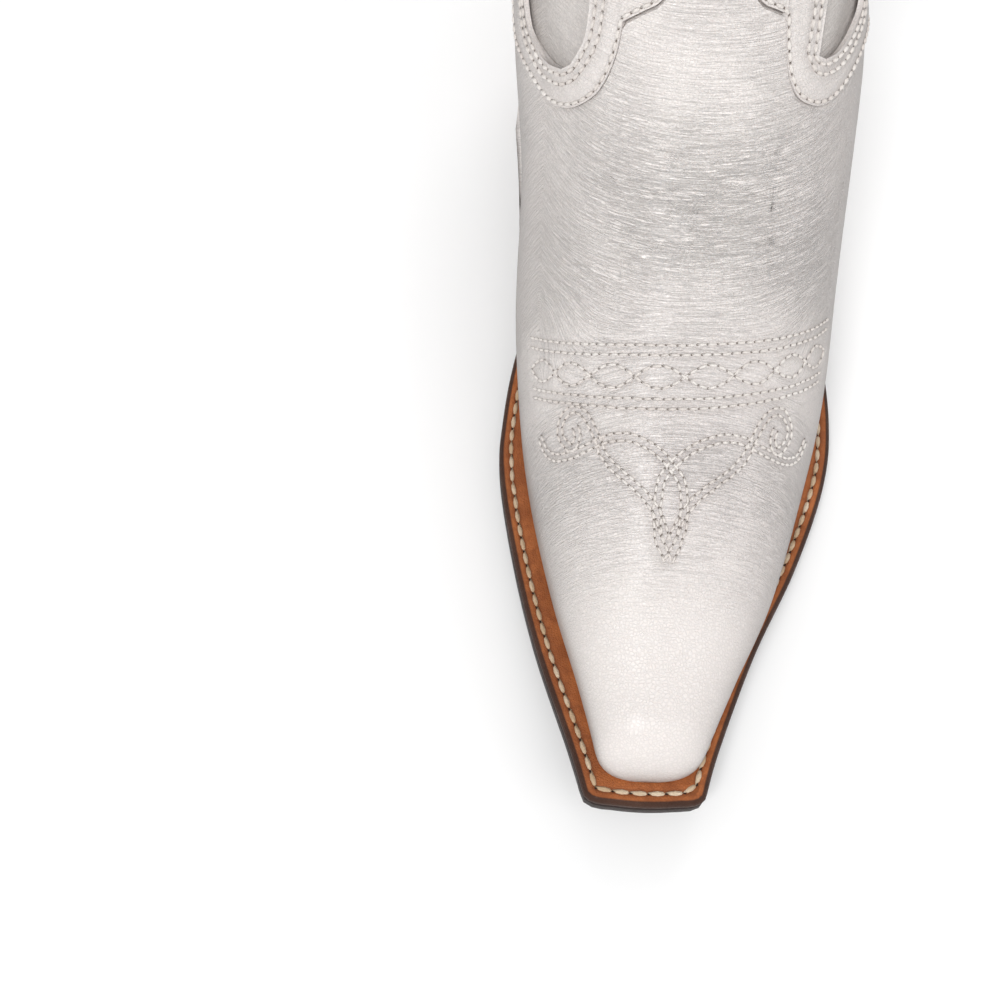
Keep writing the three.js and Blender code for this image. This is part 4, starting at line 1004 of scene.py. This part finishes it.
def makePiping(side, name):
    def formula(u, v):
        turn = v * 2 * math.pi
        middle = side * 90
        station = pipingLook["foot"] + (rim(90, pipingLook["top"]) - pipingLook["foot"]) * u
        angle = middle + np.sin(turn) * pipingLook["half"] / degreeWidth(station, middle)
        depth = -np.where(np.cos(turn) > 0, pipingLook["stand"], pipingLook["root"]) * np.cos(turn)
        return upperPoints(station, angle, depth), 0.0, 0.0

    piece = ringLoft(name + "_cord", pipingLook["rows"], pipingLook["ring"], formula)
    return wear(piece, "upper_leather", name)


makePiping(-1, "side_piping_medial")
makePiping(1, "side_piping_lateral")

# Binding: a strip folded over the shaft's edge, turned in at both sides.
bindingLook = {"columns": 110, "ring": 22, "thickness": 0.9, "wall": 2.9, "gap": 0.35}
bindingRing = [
    (-1.25, 6.0), (-1.3, 4.0), (-1.3, 2.0), (-1.2, 0.2), (-0.6, -0.9), (0.6, -1.5), (1.3, -1.6), (2.4, -1.4),
    (3.4, -0.7), (3.8, 0.4), (3.8, 2.0), (3.75, 4.0), (3.7, 6.0), (3.0, 6.15), (2.95, 4.0), (2.9, 1.6),
    (2.4, 0.2), (1.3, -0.5), (0.2, 0.1), (-0.35, 1.6), (-0.38, 4.0), (-0.4, 6.15),
]


def makeBinding(name, first, last):
    ring = np.array(bindingRing + bindingRing[:1], float)

    def formula(u, v):
        angle = first + (last - first) * u
        depth, below = (np.interp(v, np.linspace(0, 1, len(ring)), ring[:, k]) for k in (0, 1))
        return upperPoints(rim(angle, below), angle, depth), 0.0, 0.0

    piece = ringLoft(name + "_strip", bindingLook["columns"], bindingLook["ring"], formula)
    return wear(piece, "upper_leather", name)


makeBinding("top_binding_front", -90 + seamHalf / 2, 90 - seamHalf / 2)
makeBinding("top_binding_back", 90 + seamHalf / 2, 270 - seamHalf / 2)

# Pull straps: a folded loop over the edge at each side seam.
strapLook = {"width": 25.0, "thickness": 1.8, "rise": 21.0, "outer": 46.0, "inner": 32.0, "bow": 1.8,
             "standOff": 1.9, "columns": 110, "across": 20}


def strapLine(side):
    # the strap's middle line from the outer end over the loop to the inner end, as x and z
    half = sections[-1][4] if side < 0 else sections[-1][5]
    peak = sections[-1][3]
    low = abs(upperPoints(rim(90, strapLook["outer"]), side * 90)[0][0])
    lean = (low - half) / strapLook["outer"]
    t = strapLook["thickness"] / 2
    outerX = half + strapLook["standOff"] + t
    folded = bindingLook["wall"] + bindingLook["thickness"] + bindingLook["gap"]
    innerX = half - (folded + strapLook["bow"]) - t
    radius = (outerX - innerX) / 2
    top = peak + strapLook["rise"] - radius - t
    spread = lean * strapLook["outer"] + 1
    end = peak - strapLook["outer"]
    line = [(outerX + spread - s * spread, end + s * (top - end)) for s in np.linspace(0, 1, 30)]
    line += [(outerX - radius + radius * math.cos(a), top + radius * math.sin(a))
             for a in np.linspace(0, math.pi, 24)[1:-1]]
    line += [(innerX + s * lean * strapLook["inner"], top + s * (peak - strapLook["inner"] - top))
             for s in np.linspace(0, 1, 24)]
    return np.array(line)


def makeStrap(side, name):
    low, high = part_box(name)
    middle = (low.y + high.y) / 2 / mm
    line = strapLine(side)
    share = np.linspace(0, 1, len(line))

    def formula(u, v):
        x, z = (np.interp(u, share, line[:, k]) for k in (0, 1))
        y = middle + (v - 0.5) * (strapLook["width"] - 0.6)
        return np.stack([side * x, y, z], 1), np.stack([u * 1.4, v * 0.25], 1), (0.15, 0.0, 0.0)

    bm = gridMesh(strapLook["columns"], strapLook["across"], formula, ("flex", "seam", "edge"))
    piece = meshObject(name + "_leather", bm, [leathers["whiteLeather"]])
    wall = piece.modifiers.new("wall", "SOLIDIFY")
    wall.thickness = (strapLook["thickness"] - 0.1) * mm
    wall.offset = 0
    bevel = piece.modifiers.new("edges", "BEVEL")
    bevel.width = 0.45 * mm
    bevel.segments = 3
    bevel.limit_method = "ANGLE"
    bevel.angle_limit = math.radians(50)
    settle(piece)
    bm = bmesh.new()
    bm.from_mesh(piece.data)
    bmesh.ops.recalc_face_normals(bm, faces=bm.faces)
    bm.to_mesh(piece.data)
    bm.free()
    return wear(piece, "upper_leather", name)


makeStrap(-1, "pull_strap_medial")
makeStrap(1, "pull_strap_lateral")

print("stage: sole and heel")
innerEdge = [
    (-146.6, -20.6), (-134, -24.2), (-108, -32.6), (-82, -38.9), (-56, -43.4), (-40, -43.3),
    (-18, -40), (8, -32), (30, -26), (50, -24), (70, -25.5), (90, -28), (108, -28), (126, -23.7),
]
outerEdge = [
    (-146.6, 9), (-134, 13.3), (-108, 24.3), (-82, 37.5), (-56, 47.5), (-35, 50.6),
    (-12, 48.5), (12, 42), (32, 34.5), (50, 30.5), (70, 29), (90, 30), (108, 29.5), (126, 25),
]
toeEnd = {"y": -149.4, "middle": -5.6, "halfWidth": 8.2}
heelEnd = {"y": 145, "shoulder": 139.5, "halfWidth": 15}


def arcThrough(a, control, b, count):
    a, control, b = (np.array(p, float) for p in (a, control, b))
    steps = np.linspace(0, 1, count, endpoint=False)
    return [a * (1 - t) ** 2 + 2 * control * t * (1 - t) + b * t * t for t in steps]


def soleLoop(step):
    # the sole's outline once round in plan, from the middle of the heel along the inner side, in even steps
    toeY = toeEnd["y"] + 0.4
    left, right = toeEnd["middle"] - toeEnd["halfWidth"], toeEnd["middle"] + toeEnd["halfWidth"]
    inner = [(x, y) for y, x in innerEdge]
    outer = [(x, y) for y, x in outerEdge]
    back = [(heelEnd["halfWidth"], heelEnd["shoulder"]), (0, heelEnd["y"]),
            (-heelEnd["halfWidth"], heelEnd["shoulder"])]
    sides = curveThrough(outer + back + inner[::-1], 14)
    loop = sides + arcThrough(inner[0], (inner[0][0] + 1, toeY), (left, toeY), 8)
    loop += arcThrough((left, toeY), ((left + right) / 2, toeY - 1), (right, toeY), 14)
    loop += arcThrough((right, toeY), (outer[0][0] - 1, toeY), outer[0], 8)
    loop = np.array(loop)
    start = int(np.argmax(loop[:, 1]))
    loop = np.roll(loop, -start, axis=0)
    closedLoop = np.concatenate([loop, loop[:1]])
    gone = lengthAlong(closedLoop)
    at = np.linspace(0, gone[-1], round(gone[-1] / step), endpoint=False)
    return np.stack([np.interp(at, gone, closedLoop[:, k]) for k in (0, 1)], 1)


def insetLoop(loop, distance):
    # the outline moved inwards; far in, points slide towards the sole's spine instead of crossing
    ahead = np.roll(loop, -3, axis=0) - np.roll(loop, 3, axis=0)
    normal = np.stack([-ahead[:, 1], ahead[:, 0]], 1)
    normal /= np.linalg.norm(normal, axis=1)[:, None]
    spine = np.stack([follow([(-148, -5.6), (-60, 0), (-20, 4), (50, 2.5), (145, 0)], loop[:, 1]),
                      np.clip(loop[:, 1], -128, 120)], 1)
    toSpine = spine - loop
    room = np.linalg.norm(toSpine, axis=1)
    normal *= np.sign(np.sum(normal * toSpine, axis=1))[:, None]
    straight = np.minimum(distance, 4.5)
    rest = np.minimum(distance - straight, np.maximum(room - straight - 1.5, 0))[:, None]
    return loop + normal * straight + toSpine / room[:, None] * rest


soleLine = soleLoop(1.6)
weltLook = {"grooveAt": 3.3, "thickness": 3.2, "end": 62.0, "gap": 0.4, "seamEnd": 24, "pitch": 4.3}
weltRing = [
    (11.0, 0.0), (8.0, 0.0), (5.6, 0.02), (4.4, 0.0), (3.95, -0.12), (3.3, -0.42), (2.65, -0.12), (2.2, 0.0),
    (1.5, 0.0), (1.1, -0.08), (0.5, -0.5), (0.1, -1.1), (0.0, -1.8), (0.02, -2.4), (0.2, -2.95), (0.7, -3.2),
    (5.6, -3.2), (11.0, -3.2),
]


def weltStrip(name, node, keep, groove):
    # a strip round part of the sole's edge, its section a closed ring of (inset, height)
    chosen = np.array([i for i, p in enumerate(soleLine) if keep(p[1])])
    breaks = np.where(np.diff(chosen) > 1)[0]
    if len(breaks):
        chosen = np.concatenate([chosen[breaks[0] + 1:], chosen[:breaks[0] + 1]])
    ring = np.array(weltRing + weltRing[:1], float)
    insets = [insetLoop(soleLine, d)[chosen] for d in ring[:, 0]]
    count = len(chosen)

    def formula(u, v):
        column = np.rint(u * (count - 1)).astype(int)
        k = np.rint(v * (len(ring) - 1)).astype(int)
        xy = np.array([insets[b][a] for a, b in zip(column, k)])
        height = ring[k, 1].copy()
        if not groove:
            height[(height < 0) & (height > -0.5) & (ring[k, 0] > 2)] = 0
        inset = ring[k, 0]
        dark = np.where((inset < 1.3) | (height < -2), 0.92, 0.0)
        # painted shade in the welt's stitch groove
        seam = np.where((inset > 2.3) & (inset < 4.3) & (height > -1), 0.9, 0.0) if groove else 0.0
        return np.column_stack([xy, weltTop(xy[:, 1]) + height]), dark, seam

    piece = ringLoft(name, count - 1, len(ring) - 1, formula, "weltLeather")
    return wear(piece, "welt_leather", node)


weltStrip("welt_strip", "welt", lambda y: y < weltLook["end"], True)
weltStrip("heel_rand_strip", "heel_rand", lambda y: y > weltLook["end"] + weltLook["gap"], False)

outsoleLook = {"thickness": 4.8, "gap": 0.3, "slice": 4.0, "rim": 0.8}


def makeOutsole():
    loop = soleLoop(2.4)
    bm = bmesh.new()
    verts = [bm.verts.new((x * mm, y * mm, 0)) for x, y in loop]
    bm.faces.new(verts)
    for y in np.arange(-144, 142, outsoleLook["slice"]):
        bmesh.ops.bisect_plane(bm, geom=bm.verts[:] + bm.edges[:] + bm.faces[:], plane_co=(0, y * mm, 0),
                               plane_no=(0, 1, 0))
    bmesh.ops.remove_doubles(bm, verts=bm.verts, dist=0.3 * mm)
    lifted = bmesh.ops.extrude_face_region(bm, geom=bm.faces[:])["geom"]
    bmesh.ops.translate(bm, vec=(0, 0, -outsoleLook["thickness"] * mm),
                        verts=[g for g in lifted if isinstance(g, bmesh.types.BMVert)])
    bmesh.ops.recalc_face_normals(bm, faces=bm.faces)
    rimEdges = [e for e in bm.edges if e.calc_face_angle(0) > math.radians(60)
                and abs(e.verts[0].co.z - e.verts[1].co.z) < 0.01 * mm]
    bmesh.ops.bevel(bm, geom=rimEdges, offset=outsoleLook["rim"] * mm, offset_type="OFFSET", affect="EDGES",
                    segments=3, profile=0.5, material=-1)
    edgeLayer = bm.verts.layers.float.new("edge")
    flexLayer = bm.verts.layers.float.new("flex")
    tree = kdtree.KDTree(len(loop))
    for i, (x, y) in enumerate(loop):
        tree.insert((x * mm, y * mm, 0), i)
    tree.balance()
    for vert in bm.verts:
        inset = tree.find((vert.co.x, vert.co.y, 0))[2] / mm
        bottom = vert.co.z < -4 * mm
        vert[edgeLayer] = 1.0 if inset < 1.2 or not bottom else float(0.7 * (1 - smooth(inset, 1.5, 6)))
        vert[flexLayer] = 0.2
    top = -weltLook["thickness"] - outsoleLook["gap"]
    for vert in bm.verts:
        vert.co.z += float(weltTop(vert.co.y / mm) + top) * mm
    piece = meshObject("outsole_leather", bm, [leathers["soleLeather"]])
    return wear(piece, "sole_leather", "outsole")


makeOutsole()

# Heel: leather lifts and a rubber cap, all cut from one tapering block.
heelLook = {
    "height": 43.0, "breast": 66.0, "seatHalf": 28.0, "baseHalf": 23.5, "backTuck": 16.0, "breastTuck": 9.0,
    "capThickness": 6.0, "lifts": 4, "lift": 5.6, "gap": 0.3, "swell": 0.12,
    "segments": 96, "round": 0.35, "levels": 4,
}


def heelPoint(turn, z):
    share = z / heelLook["height"]
    back = heelEnd["y"] - 1 - heelLook["backTuck"] * (1 - min(share, 1.2) ** 1.5)
    front = heelLook["breast"] + heelLook["breastTuck"] * (1 - max(share, 0) ** 0.8)
    half = heelLook["baseHalf"] + (heelLook["seatHalf"] - heelLook["baseHalf"]) * share
    middle = front + (back - front) * 0.45
    sin, cos = math.sin(turn), math.cos(turn)
    power = 2 / (2.4 if cos > 0 else 7)
    across = math.copysign(abs(sin) ** power, sin)
    along = math.copysign(abs(cos) ** power, cos)
    reach = back - middle if along > 0 else middle - front
    return half * across, middle + reach * along


def seatZ(y):
    return float(weltTop(y)) - weltLook["thickness"] - outsoleLook["gap"] * 2 - outsoleLook["thickness"]


def heelLayer(name, node, low, high, material, slotName, toSeat=False):
    bm = bmesh.new()
    bmesh.ops.create_circle(bm, cap_ends=True, segments=heelLook["segments"], radius=1)
    levels = heelLook["levels"]
    for k in range(levels):
        top = [f for f in bm.faces if all(abs(v.co.z - k) < 0.01 for v in f.verts)]
        lifted = bmesh.ops.extrude_face_region(bm, geom=top)["geom"]
        bmesh.ops.translate(bm, vec=(0, 0, 1), verts=[g for g in lifted if isinstance(g, bmesh.types.BMVert)])
    for vert in bm.verts:
        turn = math.atan2(vert.co.x, vert.co.y)
        share = vert.co.z / levels
        y = heelPoint(turn, low + (high - low) * share)[1]
        ceiling = seatZ(y) if toSeat else min(high, seatZ(y))
        z = low + (ceiling - low) * share
        x, y = heelPoint(turn, z)
        vert.co = (x * mm, y * mm, z * mm)
    bmesh.ops.recalc_face_normals(bm, faces=bm.faces)
    rimEdges = [e for e in bm.edges if e.calc_face_angle(0) > math.radians(55)
                and any(len(f.verts) > 4 for f in e.link_faces)]
    bmesh.ops.bevel(bm, geom=rimEdges, offset=heelLook["round"] * mm, offset_type="OFFSET", affect="EDGES",
                    segments=3, profile=0.5, material=-1)
    bmesh.ops.triangulate(bm, faces=[f for f in bm.faces if len(f.verts) > 4])
    piece = meshObject(name, bm, [material])
    return wear(piece, slotName, node)


heelLayer("heel_cap_rubber", "heel_cap", 0.0, heelLook["capThickness"], finishes["heelRubber"], "heel_rubber")
for i in range(heelLook["lifts"]):
    last = i == heelLook["lifts"] - 1
    low = heelLook["capThickness"] + heelLook["gap"] + i * (heelLook["lift"] + heelLook["gap"])
    high = heelLook["height"] + 3 if last else low + heelLook["lift"]
    node = f"heel_lift_{i + 1}"
    heelLayer(node + "_leather", node, low - heelLook["swell"], high + heelLook["swell"],
              finishes["stackedLeather"], "heel_leather", last)

print("stage: stitches")
stitchLooks = {
    "vamp": {"width": 0.8, "height": 0.36, "hole": 0.3},
    "shaft": {"width": 1.05, "height": 0.55, "hole": 0.34},
    "welt": {"width": 1.55, "height": 0.62, "hole": 0.5},
}


def surfaceTree(piece):
    bpy.context.view_layer.update()
    return BVHTree.FromObject(piece, bpy.context.evaluated_depsgraph_get())


def stitchTemplate():
    # one stitch a unit long along x, with a dark disc at its foot: painted shade of the needle hole
    bm = bmesh.new()
    alongX = Matrix.Rotation(math.pi / 2, 4, "Y")
    bmesh.ops.create_uvsphere(bm, u_segments=6, v_segments=4, radius=1, matrix=alongX)
    bmesh.ops.triangulate(bm, faces=bm.faces)
    ball = bm.verts[:]
    for face in bm.faces:
        face.material_index = 0
    disc = bmesh.ops.create_circle(bm, cap_ends=True, segments=6, radius=1)["verts"]
    for face in {f for v in disc for f in v.link_faces}:
        face.material_index = 1
        if face.normal.z < 0:
            face.normal_flip()
    bm.verts.index_update()
    shape = np.array([v.co for v in bm.verts])
    faces = [[v.index for v in f.verts] for f in bm.faces]
    slots = [f.material_index for f in bm.faces]
    bm.free()
    return shape, len(ball), faces, slots


def sewRows(name, lines, piece, look, materials, slotName, nodes=()):
    # lines are (points in metres, pitch in millimetres); each stitch runs from one needle hole to the next
    tree = surfaceTree(piece)
    shape, ballCount, faces, slots = stitchTemplate()
    places, allFaces, allSlots = [], [], []
    for points, pitch in lines:
        gone = lengthAlong(points)
        count = max(1, round(gone[-1] / (pitch * mm)))
        at = np.linspace(0, gone[-1], count + 1)
        holes = np.stack([np.interp(at, gone, points[:, k]) for k in range(3)], 1)
        settled = [tree.find_nearest(Vector(p))[:2] for p in holes]
        for (a, normalA), (b, normalB) in zip(settled[:-1], settled[1:]):
            along, up = np.array(b - a), np.array((normalA + normalB).normalized())
            length = np.linalg.norm(along)
            along = along / length
            side = np.cross(up, along)
            side = side / np.linalg.norm(side)
            up = np.cross(along, side)
            size = np.array([length / 2 - look["hole"] / 2 * mm, look["width"] / 2 * mm, look["height"] * mm])
            ball = shape[:ballCount] * size + np.array([length / 2, 0, 0.06 * mm])
            # a dark disc just above the leather: painted shade of the needle hole
            disc = shape[ballCount:] * look["hole"] * mm + np.array([0, 0, 0.04 * mm])
            offset = len(places) * len(shape)
            places.append(np.array(a) + np.concatenate([ball, disc]) @ np.stack([along, side, up]))
            allFaces += [[k + offset for k in face] for face in faces]
            allSlots += slots
    mesh = bpy.data.meshes.new(name)
    mesh.from_pydata(np.concatenate(places).tolist(), [], allFaces)
    mesh.polygons.foreach_set("material_index", allSlots)
    mesh.polygons.foreach_set("use_smooth", [True] * len(allFaces))
    for material in materials:
        mesh.materials.append(material)
    stitches = bpy.data.objects.new(name, mesh)
    bpy.context.scene.collection.objects.link(stitches)
    return wear(stitches, slotName, *nodes)


# thread, and the painted shade of the needle holes
whiteThread = [finishes["whiteThread"], finishes["needleHole"]]
sewnOn = {"vamp": vampPiece, "shaftFront": shaftFrontPiece, "shaftBack": backPiece, "counter": counterPiece}
for key, piece in sewnOn.items():
    lines = [(upperPoints(line[:, 1], line[:, 0], -0.6) * mm, pitch) for line, pitch in stitchRows[key]]
    sewRows(piece.name.replace("leather", "stitches"), lines, piece,
            stitchLooks["vamp" if key == "vamp" else "shaft"], whiteThread, "upper_leather")


def weltSeam():
    line = insetLoop(soleLine, weltLook["grooveAt"])
    line = line[line[:, 1] < weltLook["seamEnd"]]
    points = np.column_stack([line, weltTop(line[:, 1]) - 0.1]) * mm
    welt = bpy.data.objects["welt_strip"]
    sewRows("welt_stitches", [(points, weltLook["pitch"])], welt, stitchLooks["welt"],
            [finishes["creamThread"], finishes["weltHole"]], "welt_thread", ["welt_thread"])


weltSeam()

# CAD pieces that stay as they are, each with its own finish.
kept = {
    "liningLeather": ["vamp_lining", "sock_lining"],
    "fibreBoard": ["toe_box", "counter_stiffener", "insole"],
    "corkFill": ["cork_filler"],
    "shankSteel": ["shank"],
    "nailBrass": [f"heel_nail_{i}" for i in range(1, 6)],
    "pegWood": [f"shank_peg_{i}" for i in range(1, 7)],
}
for name, nodes in kept.items():
    finish = leathers.get(name) or finishes[name]
    for node in nodes:
        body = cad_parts[node]
        body.data.materials.clear()
        body.data.materials.append(finish)

print("stage: studio")
studio = {
    "floor": 6.0, "world": 0.5,
    "camera": (-39.1, -209.3, 308.0), "yaw": -0.028, "pitch": 1.12, "roll": 0.0034, "lens": 43.2,
}


def makeFloor():
    bm = bmesh.new()
    bmesh.ops.create_grid(bm, x_segments=1, y_segments=1, size=studio["floor"])
    bmesh.ops.translate(bm, vec=(0, 0, -0.0002), verts=bm.verts)
    material, tree, shader = newMaterial("paleFloor")
    coords = addNode(tree, "ShaderNodeTexCoord").outputs["Object"]
    drift = useGroup(tree, driftGroup, {"Vector": coords, "Light": (0.93, 0.93, 0.93, 1),
                                        "Deep": (0.9, 0.9, 0.9, 1), "Scale": 2.0, "Speckle": 0.0})
    tree.links.new(drift.outputs["Color"], shader.inputs["Base Color"])
    shader.inputs["Roughness"].default_value = 0.9
    floor = meshObject("floor", bm, [material])


def makeCamera():
    yaw, pitch, roll = studio["yaw"], studio["pitch"], studio["roll"]
    forward = Vector((math.sin(yaw) * math.cos(pitch), math.cos(yaw) * math.cos(pitch), -math.sin(pitch)))
    right = Vector((math.cos(yaw), -math.sin(yaw), 0))
    up = right.cross(forward)
    turnedRight = right * math.cos(roll) + up * math.sin(roll)
    turnedUp = up * math.cos(roll) - right * math.sin(roll)
    camera = bpy.data.objects.new("camera", bpy.data.cameras.new("camera"))
    camera.data.lens = studio["lens"]
    camera.data.sensor_width = 36
    camera.data.clip_start = 0.01
    turned = Matrix((turnedRight, turnedUp, -forward)).transposed().to_4x4()
    camera.matrix_world = Matrix.Translation(Vector(studio["camera"]) * mm) @ turned
    bpy.context.scene.collection.objects.link(camera)
    bpy.context.scene.camera = camera


def makeLight(name, place, aim, size, power):
    light = bpy.data.lights.new(name, "AREA")
    light.shape = "DISK"
    light.size = size
    light.energy = power
    lamp = bpy.data.objects.new(name, light)
    direction = Vector(aim) - Vector(place)
    lamp.matrix_world = Matrix.Translation(place) @ direction.to_track_quat("-Z", "Y").to_matrix().to_4x4()
    bpy.context.scene.collection.objects.link(lamp)


makeFloor()
makeCamera()
makeLight("key", (-0.35, -0.75, 1.2), (0, -0.04, 0.05), 0.5, 11.0)
makeLight("gloss", (0.1, -0.95, 0.95), (-0.005, -0.12, 0.03), 0.3, 0.9)
makeLight("fill", (0.8, -0.7, 0.9), (0, 0, 0.08), 1.0, 3.0)
makeLight("back", (0.1, 0.9, 0.9), (0, -0.05, 0.1), 0.8, 5.0)
world = bpy.data.worlds.new("studio")
world.use_nodes = True
world.node_tree.nodes["Background"].inputs["Color"].default_value = (1, 1, 1, 1)
world.node_tree.nodes["Background"].inputs["Strength"].default_value = studio["world"]
bpy.context.scene.world = world
bpy.context.scene.view_settings.view_transform = "Standard"
